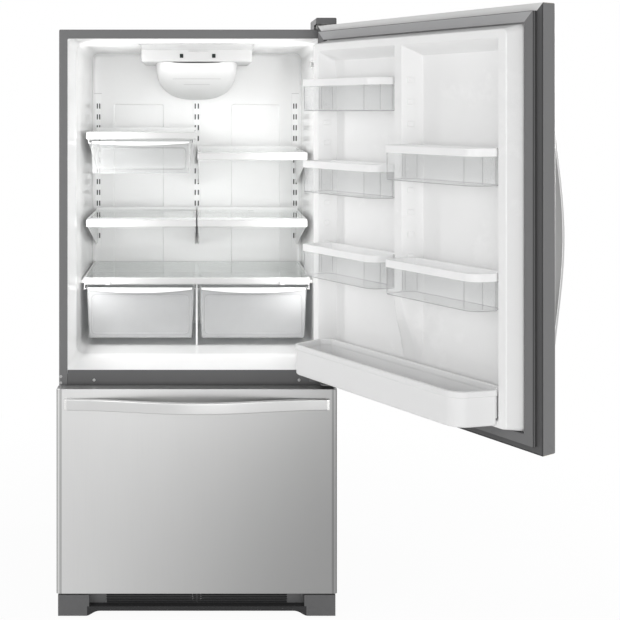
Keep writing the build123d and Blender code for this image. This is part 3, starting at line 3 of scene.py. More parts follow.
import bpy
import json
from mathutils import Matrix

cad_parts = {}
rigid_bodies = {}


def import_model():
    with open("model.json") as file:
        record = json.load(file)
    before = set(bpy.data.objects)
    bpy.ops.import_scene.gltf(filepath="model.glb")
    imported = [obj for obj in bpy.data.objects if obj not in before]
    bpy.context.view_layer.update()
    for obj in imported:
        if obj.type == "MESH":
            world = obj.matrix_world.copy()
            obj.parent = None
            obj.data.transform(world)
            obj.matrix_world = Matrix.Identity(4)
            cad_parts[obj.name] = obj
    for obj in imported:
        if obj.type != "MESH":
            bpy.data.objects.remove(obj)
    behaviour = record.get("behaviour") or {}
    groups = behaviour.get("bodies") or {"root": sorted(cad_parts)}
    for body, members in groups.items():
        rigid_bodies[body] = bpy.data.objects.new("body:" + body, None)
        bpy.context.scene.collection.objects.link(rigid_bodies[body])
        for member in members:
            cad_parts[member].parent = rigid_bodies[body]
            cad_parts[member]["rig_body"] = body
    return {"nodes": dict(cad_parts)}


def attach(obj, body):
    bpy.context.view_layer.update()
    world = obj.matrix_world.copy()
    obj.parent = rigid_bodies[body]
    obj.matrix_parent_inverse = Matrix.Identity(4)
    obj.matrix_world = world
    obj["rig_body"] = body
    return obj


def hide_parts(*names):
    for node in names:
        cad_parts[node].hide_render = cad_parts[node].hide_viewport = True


bl_info = {
    "name": "Bottom Freezer Refrigerator",
    "version": (1, 0, 0),
    "blender": (4, 5, 0),
    "location": "View3D > Sidebar > Refrigerator",
    "description": "Builds the refrigerator's pieces, finishes and studio over its packed frame",
    "category": "Object",
}

import json
from math import copysign, cos, dist, pi, radians, sin, sqrt

import bmesh
import bpy
from mathutils import Matrix, Vector

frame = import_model()

MM = 0.001
HINGE = Vector((0.392, -0.036, 0.0))
OPEN = radians(122.4)
SWING = Matrix.Translation(HINGE) @ Matrix.Rotation(OPEN, 4, "Z") @ Matrix.Translation(-HINGE)
SHARP = radians(40.0)

# Places that several pieces share, in millimetres. The door's are those of the shut door.
CASE_X, CASE_TOP, CASE_BACK = 416, 1743, 690
DOOR_Z, DRAWER_Z = (691, 1752), (67, 673)
FRONT_Y, HEM_Y, DIKE_Y = -62, -16, 46
RECESS_X, LEAN = 336, 28 / 50
LINER_BACK, HOUSING_BACK = 545, 541
DOME_TOP = 1655.6
SLOT_PITCH, STUD_PITCH = 38.1, 58
BIN_DEPTH = 91
HANDLE_REACH = 392.4
FLOOR_RADIUS = 7000
WINDOW = (6.8, 8.2)
BINS_LEFT, BINS_RIGHT = (18.5, 336), (-336, -8.5)
RAIL_Y = (184, 538)


# ---- points and rings, in millimetres ----
def rounded(path, reach, closed=False, steps=4, lead=None):
    """A path with arcs at its corners, each starting its reach away.

    Only a point's first numbers count as distance, as many as lead says.
    """
    count = len(path)
    reaches = reach if isinstance(reach, (list, tuple)) else [reach] * count
    made = []
    for i, p in enumerate(path):
        if reaches[i] <= 0 or (not closed and i in (0, count - 1)):
            made.append(tuple(p))
            continue
        before, after = path[i - 1], path[(i + 1) % count]
        run_in, run_out = dist(before[:lead], p[:lead]), dist(after[:lead], p[:lead])
        near = min(reaches[i], 0.499 * run_in, 0.499 * run_out)
        start = [c + (b - c) * near / run_in for b, c in zip(before, p)]
        stop = [c + (a - c) * near / run_out for a, c in zip(after, p)]
        along = sum((c - b) * (a - c) for b, c, a in zip(before[:lead], p[:lead], after[:lead]))
        weight = sqrt(max(0.0, (1 + along / (run_in * run_out)) / 2))
        for k in range(steps + 1):
            t = k / steps
            parts = ((1 - t) ** 2, 2 * t * (1 - t) * weight, t * t)
            whole = sum(parts)
            made.append(
                tuple((parts[0] * s + parts[1] * c + parts[2] * e) / whole for s, c, e in zip(start, p, stop))
            )
    return made


def corners_of(a0, a1, b0, b1):
    """The corners of a rectangle, in order round it."""
    return (a0, b0), (a1, b0), (a1, b1), (a0, b1)


def upright(y, x0, x1, z0, z1, r):
    """A rounded rectangle that faces the front."""
    return [(x, y, z) for x, z in rounded(corners_of(x0, x1, z0, z1), r, True)]


def level(z, x0, x1, y0, y1, r):
    """A rounded rectangle that lies flat."""
    return [(x, y, z) for x, y in rounded(corners_of(x0, x1, y0, y1), r, True)]


class Form:
    """A mesh in the making, in millimetres."""

    def __init__(self):
        self.mesh = bmesh.new()

    def face(self, corners, slot):
        self.mesh.faces.new(corners).material_index = slot

    def skin(self, rings, closed=True, ends=(False, False), loop=False, slot=0):
        """Faces between neighbouring rings of equally many points."""
        rows = [[self.mesh.verts.new(p) for p in ring] for ring in rings]
        for a, b in zip(rows, rows[1:] + (rows[:1] if loop else [])):
            for i in range(len(a) if closed else len(a) - 1):
                j = (i + 1) % len(a)
                self.face((a[i], a[j], b[j], b[i]), slot)
        if ends[0]:
            self.face(rows[0][::-1], slot)
        if ends[1]:
            self.face(rows[-1], slot)

    def solid(self, rings, slot=0):
        """A skin whose first and last rings are filled."""
        self.skin(rings, ends=(True, True), slot=slot)

    def plate(self, loops):
        """A flat plate inside the first loop and outside the others."""
        edges = []
        for loop in loops:
            row = [self.mesh.verts.new(p) for p in loop]
            edges += [self.mesh.edges.new((row[i - 1], row[i])) for i in range(len(row))]
        bmesh.ops.triangle_fill(self.mesh, use_beauty=True, use_dissolve=False, edges=edges)

    def box(self, x, y, z):
        self.solid([[(a, b, h) for a, b in corners_of(*x, *y)] for h in z])

    def pair(self, x, y, z):
        """A box on the right side and its mirror image on the left."""
        self.box((-x[1], -x[0]), y, z)
        self.box(x, y, z)

    def turned(self, profile, centre, axis=(0, 0, 1), steps=32, lobes=None, slot=0):
        """A body turned about an axis, from (radius, distance along) pairs."""
        spin = Vector(axis).to_track_quat("Z", "Y")
        rings = []
        for radius, along in profile:
            ring = []
            for k in range(steps):
                a = 2 * pi * k / steps
                r = lobes(radius, a) if lobes else radius
                ring.append(tuple(Vector(centre) + spin @ Vector((r * cos(a), r * sin(a), along))))
            rings.append(ring)
        self.solid(rings, slot)

    def pipe(self, path, radius, closed=False, slot=0):
        """A round bead along a path, with eight sides."""
        rings, count = [], len(path)
        points = [Vector(p) for p in path]
        turns = [pi * k / 4 for k in range(8)]
        for i, p in enumerate(points):
            before = points[i - 1] if closed or i else p
            after = points[(i + 1) % count] if closed or i < count - 1 else p
            along = (after - before).normalized()
            side = along.cross(Vector((0.31, 0.47, 0.83))).normalized()
            up = side.cross(along)
            rings.append([tuple(p + radius * (side * cos(a) + up * sin(a))) for a in turns])
        self.skin(rings, ends=(not closed, not closed), loop=closed, slot=slot)

    def sort(self, rule):
        """Gives each face the material slot that the rule reads from its middle."""
        for f in self.mesh.faces:
            f.material_index = rule(f.calc_center_median())


def place(form, name, body, finishes, stands_for=None, wall=0.0, edge=0.0, steps=3, turned=False):
    """Turns a form into a finished piece that rides on a body of the frame.

    A piece that stands for a CAD node hides it. A turned one is drawn on the shut door.
    """
    finishes = [finishes] if isinstance(finishes, str) else finishes
    mesh = form.mesh
    bmesh.ops.remove_doubles(mesh, verts=mesh.verts, dist=0.002)
    bmesh.ops.recalc_face_normals(mesh, faces=mesh.faces)
    data = bpy.data.meshes.new(name)
    mesh.to_mesh(data)
    mesh.free()
    data.transform(Matrix.Scale(MM, 4))
    if turned:
        data.transform(SWING)
    for finish in finishes:
        data.materials.append(bpy.data.materials[finish])
    piece = bpy.data.objects.new(name, data)
    bpy.context.scene.collection.objects.link(piece)
    if wall:
        shell = piece.modifiers.new("wall", "SOLIDIFY")
        shell.thickness, shell.offset = abs(wall) * MM, copysign(1.0, wall)
        shell.use_even_offset = True
        shell.thickness_clamp = 2.0
    if edge:
        bevel = piece.modifiers.new("edge", "BEVEL")
        bevel.width, bevel.segments = edge * MM, steps
        bevel.limit_method, bevel.angle_limit = "ANGLE", SHARP
        bevel.use_clamp_overlap = True
    if piece.modifiers:
        graph = bpy.context.evaluated_depsgraph_get()
        settled = bpy.data.meshes.new_from_object(piece.evaluated_get(graph))
        piece.modifiers.clear()
        piece.data = settled
        bpy.data.meshes.remove(data)
        settled.name = name
    for polygon in piece.data.polygons:
        polygon.use_smooth = True
    piece.data.set_sharp_from_angle(angle=SHARP)
    weights = piece.modifiers.new("normals", "WEIGHTED_NORMAL")
    weights.keep_sharp = True
    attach(piece, body)
    if stands_for:
        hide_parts(stands_for)


def softened(node, finishes, edge=0.8, cuts=(), rule=None, steps=2):
    """A piece with a CAD node's own shape and broken edges; cuts are planes that part its finishes."""
    source = frame["nodes"][node]
    form = Form()
    mesh = form.mesh
    mesh.from_mesh(source.data)
    bmesh.ops.transform(mesh, matrix=Matrix.Scale(1 / MM, 4), verts=mesh.verts)
    bmesh.ops.remove_doubles(mesh, verts=mesh.verts, dist=0.01)
    bmesh.ops.dissolve_limit(mesh, angle_limit=radians(1.5), verts=mesh.verts, edges=mesh.edges)
    for point, normal in cuts:
        parts = mesh.verts[:] + mesh.edges[:] + mesh.faces[:]
        bmesh.ops.bisect_plane(mesh, geom=parts, plane_co=point, plane_no=normal)
    form.sort(rule or (lambda middle: 0))
    place(form, node + "_piece", source["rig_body"], finishes, node, edge=edge, steps=steps)


def kept(node, finish):
    """A CAD node that shows as it is, in a finish."""
    slots = frame["nodes"][node].data.materials
    for i in range(len(slots)):
        slots[i] = bpy.data.materials[finish]
    if not slots:
        slots.append(bpy.data.materials[finish])


# ---- materials ----
class Wire:
    """A socket of a material, whose Python operators add Math nodes."""

    def __init__(self, finish, socket):
        self.finish, self.socket = finish, socket

    def maths(self, operation, *others):
        return self.finish.add("Math", {"operation": operation}, dict(enumerate((self, *others))))

    def __add__(self, other):
        return self.maths("ADD", other)

    def __sub__(self, other):
        return self.maths("SUBTRACT", other)

    def __mul__(self, other):
        return self.maths("MULTIPLY", other)

    def between(self, low, high):
        """0 below low, 1 above high, smooth between."""
        settings = {"interpolation_type": "SMOOTHSTEP"}
        return self.finish.add("MapRange", settings, {0: self, 1: low, 2: high})


class Finish:
    """The nodes of a material or of the world."""

    def __init__(self, owner):
        owner.use_nodes = True
        self.tree = owner.node_tree
        self.tree.nodes.clear()

    def add(self, kind, settings=None, sockets=None, out=0):
        """A node of a type: its settings first, then its sockets."""
        node = self.tree.nodes.new("ShaderNode" + kind)
        for key, value in (settings or {}).items():
            setattr(node, key, value)
        for key, value in (sockets or {}).items():
            if isinstance(value, Wire):
                self.tree.links.new(value.socket, node.inputs[key])
            else:
                node.inputs[key].default_value = value
        return Wire(self, node.outputs[out])

    def place(self, stretch=(1.0, 1.0, 1.0)):
        """The piece's own coordinates, in metres, stretched."""
        own = self.add("TexCoord", out="Object")
        return self.add("Mapping", None, {"Vector": own, "Scale": stretch})

    def noise(self, scale, detail=2.0, roughness=0.5, stretch=(1.0, 1.0, 1.0)):
        """Soft cloudy values about one half."""
        sockets = {"Vector": self.place(stretch), "Scale": scale, "Detail": detail, "Roughness": roughness}
        return self.add("TexNoise", None, sockets)

    def mix(self, factor, first, second):
        """A colour between two others."""
        sockets = {0: factor, 6: first, 7: second}
        return self.add("Mix", {"data_type": "RGBA"}, sockets, 2)

    def shaded(self, colour, factor, low, high):
        """A colour made darker to lighter, by shares of itself."""
        dark, light = ([min(1.0, c * k) for c in colour[:3]] + [1.0] for k in (low, high))
        return self.mix(factor, dark, light)

    def bump(self, height, depth):
        """A normal from a height of 0 to 1, over a depth in metres."""
        return self.add("Bump", None, {"Height": height, "Distance": depth})

    def gloss(self, **sockets):
        """The Principled shader, with sockets named by word."""
        names = {"colour": "Base Color", "rough": "Roughness", "metal": "Metallic", "normal": "Normal",
                 "coat": "Coat Weight", "coat_rough": "Coat Roughness"}
        return self.add("BsdfPrincipled", None, {names[k]: v for k, v in sockets.items()})

    def blend(self, share, first, second):
        """A shader between two others."""
        return self.add("MixShader", None, {0: share, 1: first, 2: second})

    def done(self, shader, kind="OutputMaterial"):
        node = self.tree.nodes.new("ShaderNode" + kind)
        self.tree.links.new(shader.socket, node.inputs["Surface"])


def moulded(name, colour, rough, grain=1400.0, depth=4e-5, coat=0.0):
    """Moulded plastic or paint: a fine grain, cloudy tone, faint dust and convex edges lightened in colour, a
    painted highlight.
    """
    f = Finish(bpy.data.materials.new(name))
    cloud = f.noise(6.0, 4.0, 0.6)
    fine = f.noise(grain)
    tone = f.shaded(colour, cloud * 0.6 + fine * 0.4, 0.965, 1.03)
    # Painted highlight: convex edges, found by pointiness, are lightened in colour.
    edge_highlight = f.add("NewGeometry", out="Pointiness").between(0.52, 0.60)
    tone = f.mix(edge_highlight * 0.18, tone, [min(1.0, c * 1.12 + 0.02) for c in colour[:3]] + [1.0])
    roughness = cloud.between(0.3, 0.7) * 0.08 + fine * 0.06 + (rough - 0.07)
    shader = f.gloss(colour=tone, rough=roughness, normal=f.bump(fine, depth), coat=coat, coat_rough=0.2)
    f.done(shader)


def brushed(name, colour, rough, grain, reflection_drift=(0.0, 0.0, 0.0), start=0.0, reflection_fall=0.0, fold=0.0):
    """Brushed metal: long fine streaks and soft smears.

    Its tone darkens along reflection_drift, a painted reflection gradient, and a fold puts dark stripes of
    painted shade beside a sheet's side edges, where its rounded edges reflect darker.
    """
    f = Finish(bpy.data.materials.new(name))
    streak = f.noise(1.0, 3.0, 0.6, grain)
    hair = f.noise(1.0, 1.0, 0.5, [g * 3.1 for g in grain])
    smear = f.noise(4.0, 3.0, 0.55, [1.0 if g > 100 else 0.35 for g in grain])
    tone = f.shaded(colour, streak * 0.6 + smear * 0.4, 0.93, 1.06)
    # Painted reflection gradient: the tone darkens along reflection_drift, as the studio's reflection does
    # across the sheet.
    if reflection_fall:
        own = f.add("TexCoord", out="Object")
        along = f.add("VectorMath", {"operation": "DOT_PRODUCT"}, {0: own, 1: reflection_drift}, "Value")
        share = (along - start).between(0.0, 1.0)
        tone = f.mix(share, tone, [c * reflection_fall for c in colour[:3]] + [1.0])
        # Painted shade: dark stripes beside the side edges, where the rounded edges reflect darker.
        if fold:
            apart = f.add("SeparateXYZ", None, {0: own}).maths("ABSOLUTE")
            inner = apart.between(0.3993, 0.4005) - apart.between(0.4062, 0.4072)
            edge_shade_stripes = inner * fold + apart.between(0.4122, 0.4134) * 0.8
            tone = f.mix(edge_shade_stripes, tone, [c * 0.12 for c in colour[:3]] + [1.0])
    roughness = streak * 0.10 + smear * 0.10 + (rough - 0.10)
    bump = f.bump(streak * 0.7 + hair * 0.3, 3e-5)
    f.done(f.gloss(colour=tone, rough=roughness, metal=1.0, normal=bump))


def see_through(name, colour, body, facing, rough, tint=(0.96, 0.97, 0.97, 1.0)):
    """Clear or frosted sheet: it lets the view through, less so at its edges and folds."""
    f = Finish(bpy.data.materials.new(name))
    cloud = f.noise(9.0, 3.0)
    fine = f.noise(900.0)
    tone = f.shaded(colour, cloud, 0.96, 1.03)
    surface = f.gloss(colour=tone, rough=fine * 0.08 + rough, normal=f.bump(fine, 2e-5))
    clear = f.add("BsdfTransparent", None, {"Color": tint})
    rim = f.add("LayerWeight", None, {"Blend": 0.32}, "Facing")
    f.done(f.blend(rim * facing + cloud * 0.04 + (body - 0.02), clear, surface))


def mottled(name, colour, rough, size, metal=1.0):
    """Galvanised or cast metal: patches of slightly different grey."""
    f = Finish(bpy.data.materials.new(name))
    patch = f.add("TexVoronoi", None, {"Vector": f.place(), "Scale": size}, "Color")
    grey = f.add("RGBToBW", None, {0: patch})
    fine = f.noise(size * 12, 3.0)
    tone = f.shaded(colour, grey * 0.6 + fine * 0.4, 0.85, 1.12)
    roughness = grey * 0.12 + fine * 0.1 + (rough - 0.1)
    f.done(f.gloss(colour=tone, rough=roughness, metal=metal, normal=f.bump(fine, 5e-5)))


def glassy(name, tint):
    """Flat shelf glass with a green cast at its edges."""
    f = Finish(bpy.data.materials.new(name))
    smudge = f.noise(7.0, 4.0, 0.6)
    rim = f.add("LayerWeight", None, {"Blend": 0.22}, "Facing")
    tone = f.shaded(tint, smudge, 0.97, 1.02)
    surface = f.gloss(colour=tone, rough=smudge * 0.05 + 0.02, metal=1.0, normal=f.bump(smudge, 1e-5))
    clear = f.add("BsdfTransparent", None, {"Color": (0.975, 0.985, 0.98, 1.0)})
    f.done(f.blend(rim * 0.95 + smudge * 0.03 + 0.02, clear, surface))


# ---- settings ----
def length(name, about, default):
    """A length property, in metres."""
    return bpy.props.FloatProperty(
        name=name, description=about, default=default, min=0.0, unit="LENGTH", subtype="DISTANCE"
    )


def shade(name, about, default):
    """A colour property."""
    return bpy.props.FloatVectorProperty(
        name=name, description=about, default=(*default, 1.0), size=4, min=0.0, max=1.0, subtype="COLOR"
    )


class FridgeSizes(bpy.types.PropertyGroup):
    flange_fold: length("Flange fold", "Radius of the fold between the case and its front flange", 0.0025)
    liner_curve: length("Liner curve", "Radius where the liner's walls meet its back and floor", 0.014)
    liner_wall: length("Liner wall", "Thickness of the moulded liners", 0.0022)
    door_edge: length("Door edge", "Radius of the upright front edges of both doors", 0.007)
    dike_curve: length("Dike curve", "Radius along the crown of the door liner", 0.006)
    bin_wall: length("Bin wall", "Wall of the clear door bins", 0.0024)
    bin_rim: length("Bin rim", "Height of the frosted rim of a door bin", 0.020)
    drawer_wall: length("Drawer wall", "Wall of the clear drawers", 0.0022)
    trim_curve: length("Trim curve", "Radius of the white shelf trims", 0.0045)
    handle_curve: length("Handle curve", "Radius of the outer edges of the handles", 0.0042)


class FridgeColours(bpy.types.PropertyGroup):
    case: shade("Case", "Grey paint of the case", (0.156, 0.156, 0.158))
    door_side: shade("Door side", "Grey sides of the doors", (0.178, 0.178, 0.180))
    steel: shade("Steel", "Brushed steel of the doors", (0.645, 0.645, 0.642))
    liner: shade("Liner", "Inside of the cabinet", (0.84, 0.84, 0.838))
    trim: shade("Trim", "Shelf trims and control housing", (0.53, 0.53, 0.528))
    door_liner: shade("Door liner", "Inside of the door", (0.88, 0.88, 0.878))
    clear: shade("Clear plastic", "Body of bins and drawers", (0.95, 0.952, 0.953))
    frosted: shade("Frosted plastic", "Rims of bins and drawers", (0.96, 0.96, 0.96))
    gasket: shade("Gasket", "Door seals", (0.156, 0.156, 0.158))
    shroud: shade("Shroud", "Foot shrouds and hinge cover", (0.107, 0.107, 0.109))
    grille: shade("Grille", "Louvres of the base grille", (0.0235, 0.0235, 0.0245))


def settings():
    """The sizes and colours of the open scene."""
    scene = bpy.context.scene
    return scene.fridge_sizes, scene.fridge_colours


# ---- building steps ----
class FRIDGE_OT_finishes(bpy.types.Operator):
    """Make every material"""

    bl_idname = "fridge.finishes"
    bl_label = "Finishes"

    def execute(self, context):
        c = settings()[1]
        for packed in bpy.data.materials:
            packed.name = "packed_" + packed.name
        moulded("case_paint", c.case, 0.40, 1100, 5e-5)
        moulded("mullion_paint", [v * 0.66 for v in c.case], 0.40, 1100, 5e-5)
        moulded("door_side", c.door_side, 0.38, 1100, 4e-5)
        moulded("liner_white", c.liner, 0.10, 900, 4e-6)
        moulded("trim_white", c.trim, 0.34)
        moulded("dome_white", [v * 1.24 for v in c.trim], 0.34)
        moulded("door_white", c.door_liner, 0.24, 900, 6e-6)
        moulded("gallon_white", [v * 0.85 for v in c.frosted], 0.36)
        # Grey for painted shade: louvre lines on the light cover, the tracks' top ends and the humidity slide
        # slots.
        moulded("louvre_grey", [v * 0.62 for v in c.liner], 0.5)
        moulded("gasket_rubber", c.gasket, 0.62, 700, 8e-5)
        # Shaded and lit copies of the gasket colour: painted shade for folds and grooves, painted light for
        # the top strip.
        moulded("gasket_dark", [v * 0.25 for v in c.gasket], 0.7, 700, 8e-5)
        moulded("gasket_pale", [v * 2.4 for v in c.gasket], 0.6, 700, 8e-5)
        # Shaded and lit copies of the hem: painted shade for its sides and bottom, painted light for its top.
        moulded("hem_dark", [v * 0.5 for v in c.gasket], 0.6, 1100, 4e-5)
        moulded("hem_pale", [v * 1.1 for v in c.steel], 0.35, 1100, 4e-5)
        moulded("dark_plastic", c.grille, 0.5, 900, 8e-5)
        moulded("grey_plastic", c.shroud, 0.5, 900, 8e-5)
        moulded("shelf_steel", (0.84, 0.84, 0.838), 0.42, 1300, 6e-5)
        moulded("nylon", (0.45, 0.45, 0.44), 0.5)
        moulded("slot_shadow", (0.016, 0.016, 0.017), 0.8)
        moulded("foam", (0.72, 0.64, 0.42), 0.9, 260, 0.0006)
        moulded("black_metal", (0.012, 0.012, 0.013), 0.42, 800, 8e-5, coat=0.3)
        moulded("display", (0.002, 0.007, 0.006), 0.6, 500, 1e-5)
        moulded("drip_tray", (0.05, 0.05, 0.052), 0.6)
        # Each steel's tone drift is a painted reflection gradient; the drawer's steel also takes stripes of
        # painted shade beside its side edges.
        brushed("stainless", c.steel, 0.34, (900.0, 900.0, 5.0), (0.95, 0.0, -0.45), -0.62, 0.46, 0.4)
        brushed("stainless_door", c.steel, 0.34, (900.0, 900.0, 5.0), (0.3, 0.0, -0.6), -0.95, 0.7)
        bar = [v * 0.98 for v in c.steel]
        brushed("stainless_across", bar, 0.33, (5.0, 900.0, 900.0), (0.9, 0.0, 0.0), -0.1, 0.7)
        brushed("stainless_bright", (0.80, 0.80, 0.79), 0.24, (300.0, 300.0, 300.0))
        mottled("zinc_steel", (0.52, 0.52, 0.51), 0.42, 55.0)
        mottled("steel_sheet", (0.42, 0.42, 0.42), 0.48, 40.0, 0.8)
        mottled("copper_aluminium", (0.66, 0.64, 0.62), 0.40, 70.0)
        see_through("clear_plastic", c.clear, 0.08, 0.30, 0.12, (0.992, 0.994, 0.994, 1.0))
        # Dark lines along the folds and edges of clear plastic: painted shade.
        see_through("clear_edge", [v * 0.42 for v in c.clear], 0.55, 0.35, 0.15)
        see_through("frosted_rim", c.frosted, 0.90, 0.12, 0.28, (0.99, 0.99, 0.99, 1.0))
        smoky = [v * 0.88 for v in c.clear]
        see_through("crisper_plastic", smoky, 0.36, 0.36, 0.22, (0.97, 0.975, 0.98, 1.0))
        see_through("bulb", (0.95, 0.94, 0.90), 0.75, 0.2, 0.3)
        glassy("pane", (0.93, 0.95, 0.94))
        return {"FINISHED"}


class FRIDGE_OT_case(bpy.types.Operator):
    """Painted steel case with its folded front flange, the mullion, screws and sheet back"""

    bl_idname = "fridge.case"
    bl_label = "Case"

    def execute(self, context):
        fold = settings()[0].flange_fold / MM

        def arch(y, inset):
            w, top = CASE_X - inset, CASE_TOP - inset * 28 / 26
            corners = ((-w, 28), (-w, top), (w, top), (w, 28))
            return [(x, y, z) for x, z in rounded(corners, [0, 4, 4, 0])]

        form = Form()
        profile = rounded(((10, 25.6), (0.05, 25.6), (0.05, 0.05), (CASE_BACK, 0.05)), [0, 0.8, fold, 0])
        form.skin([arch(y, inset) for y, inset in profile], closed=False)
        place(form, "case_wrapper", "cabinet", "case_paint", "cabinet_wrapper", wall=-0.9)
        softened("mullion_bar", "mullion_paint", 0.8)

        def cross(radius, a):
            return radius * (0.75 + 0.45 * cos(4 * a)) if radius < 1.9 else radius

        form = Form()
        head = (
            (0.01, 1.2), (1.8, 1.3), (1.85, 2.1), (2.6, 2.2), (3.8, 1.8), (4.4, 0.9), (4.5, -0.2),
            (2.0, -0.2), (2.0, -8),
        )
        for centre in (
            (-410.3, 0, 695), (-410.3, 0, 675.5), (-310, 0, 684.5), (309, 0, 684.5), (352, -3, 690),
            (378, -3, 690),
        ):
            form.turned(head, centre, (0, -1, 0), 32, cross)
        place(form, "screw_heads", "cabinet", "trim_white", "screws")
        softened("back_panel", "steel_sheet", 0.7)
        softened("rear_cover", "grey_plastic", 0.6)
        kept("cabinet_foam", "foam")
        return {"FINISHED"}


class FRIDGE_OT_liners(bpy.types.Operator):
    """Moulded liners of both compartments, with the recessed back wall"""

    bl_idname = "fridge.liners"
    bl_label = "Cabinet liners"

    def execute(self, context):
        sizes = settings()[0]
        curve = sizes.liner_curve / MM
        form = Form()
        stations = rounded(
            (
                (1.3, -404, 404, 703.5, 1728, 4), (1.3, -389.5, 389.5, 715.5, 1714.5, 20),
                (60, -371, 371, 748, 1706, 22), (LINER_BACK, -367, 367, 748, 1698, 22),
                (LINER_BACK, -340, 340, 775, 1671, 6),
            ),
            [0, 5, 16, curve, 0], steps=5, lead=2,
        )
        rings = [upright(*s) for s in stations]
        form.skin(rings)
        holes = []
        for x0, x1 in ((-293, -117), (122, 293)):
            panel = (
                (LINER_BACK, x0 - 3, x1 + 3, 916, 1523, 9), (LINER_BACK, x0, x1, 919, 1520, 7),
                (547.6, x0 + 2, x1 - 2, 921, 1518, 6), (547.6, x0 + 8, x1 - 8, 927, 1512, 4),
            )
            rows = [upright(*s) for s in rounded(panel, [0, 1.2, 1.2, 0], lead=2)]
            form.skin(rows, ends=(False, True))
            holes.append(rows[0])
        form.plate([rings[-1]] + holes)
        place(form, "fresh_liner", "cabinet", "liner_white", "fresh_food_liner", wall=sizes.liner_wall / MM)
        form = Form()
        form.pair((360.8, 371.5), (200, 513), (944, 954))
        form.box((349, 372), (54, 81), (1631, 1649))
        place(form, "liner_ledges", "cabinet", "liner_white", edge=2.5)
        softened("freezer_liner", "liner_white", 3.0, steps=3)
        return {"FINISHED"}


class FRIDGE_OT_tracks(bpy.types.Operator):
    """Slotted shelf tracks, painted shade in the hollows behind their slots and a line of painted shade at
    each track's top end
    """

    bl_idname = "fridge.tracks"
    bl_label = "Shelf tracks"

    def execute(self, context):
        softened("shelf_tracks", "liner_white", 0.5)
        # Dark boxes behind the slots: painted shade where the hollows lie.
        form = Form()
        for x, spread in ((-347, 4.2), (0, 5.4), (347, 4.2)):
            for side in (-1, 1):
                at = x + side * spread
                for row in range(13):
                    z = 1513.4 - SLOT_PITCH * row
                    form.box((at - 2.3, at + 2.3), (544.2, 544.9), (z - 9.2, z + 9.2))
        place(form, "track_hollows", "cabinet", "slot_shadow")
        # A grey line at each track's top end: painted shade.
        form = Form()
        form.pair((335.5, 366.8), (541.6, 545.2), (1557.0, 1559.2))
        place(form, "track_ends", "cabinet", "louvre_grey", edge=0.5)
        return {"FINISHED"}


class FRIDGE_OT_shelves(bpy.types.Operator):
    """Half-width shelves: rounded white trims, rails, glass and steel brackets"""

    bl_idname = "fridge.shelves"
    bl_label = "Shelves"

    def execute(self, context):
        curve = settings()[0].trim_curve / MM
        trims, rails, panes, bands = Form(), Form(), Form(), Form()
        for side, top in ((-1, 1430), (1, 1364), (-1, 1150), (1, 1150)):
            x0, x1 = sorted((side * 2.4, side * 353))
            trims.box((x0, x1), (175, 189), (top - 24, top))
            bands.box((x0 + 5.4, x1 - 5.4), (187, 240), (top - 2.0, top - 0.1))
            for x, y, low, high in (
                ((x0, x0 + 12), (187, 526), 12, 4.2), ((x1 - 12, x1), (187, 526), 12, 4.2),
                ((x0, x0 + 5.6), (188, 526), 6, 0), ((x1 - 5.6, x1), (188, 526), 6, 0),
                ((x0, x1), (512, 518), 12, 4.2), ((x0, x1), (518, 526), 12, -9),
            ):
                rails.box(x, y, (top - low, top - high))
            panes.box((x0 + 6.3, x1 - 6.3), (185.3, 517.7), (top - 4, top - 0.3))
        for x, inward in ((-344.6, 1), (-11.4, -1)):
            rails.box(sorted((x, x - inward * 3)), (190, 490), (1392.4, 1419))
            rails.box(sorted((x, x + inward * 5)), (190, 490), (1392.6, 1395.6))
        place(trims, "shelf_trims", "cabinet", "trim_white", "shelf_frames", edge=curve, steps=4)
        place(rails, "shelf_rails", "cabinet", "liner_white", edge=1.0, steps=2)
        place(bands, "shelf_bands", "cabinet", "liner_white", edge=0.3, steps=1)
        place(panes, "shelf_panes", "cabinet", "pane", "shelf_glass", edge=0.6, steps=2)
        softened("shelf_brackets", "shelf_steel", 0.5)
        return {"FINISHED"}


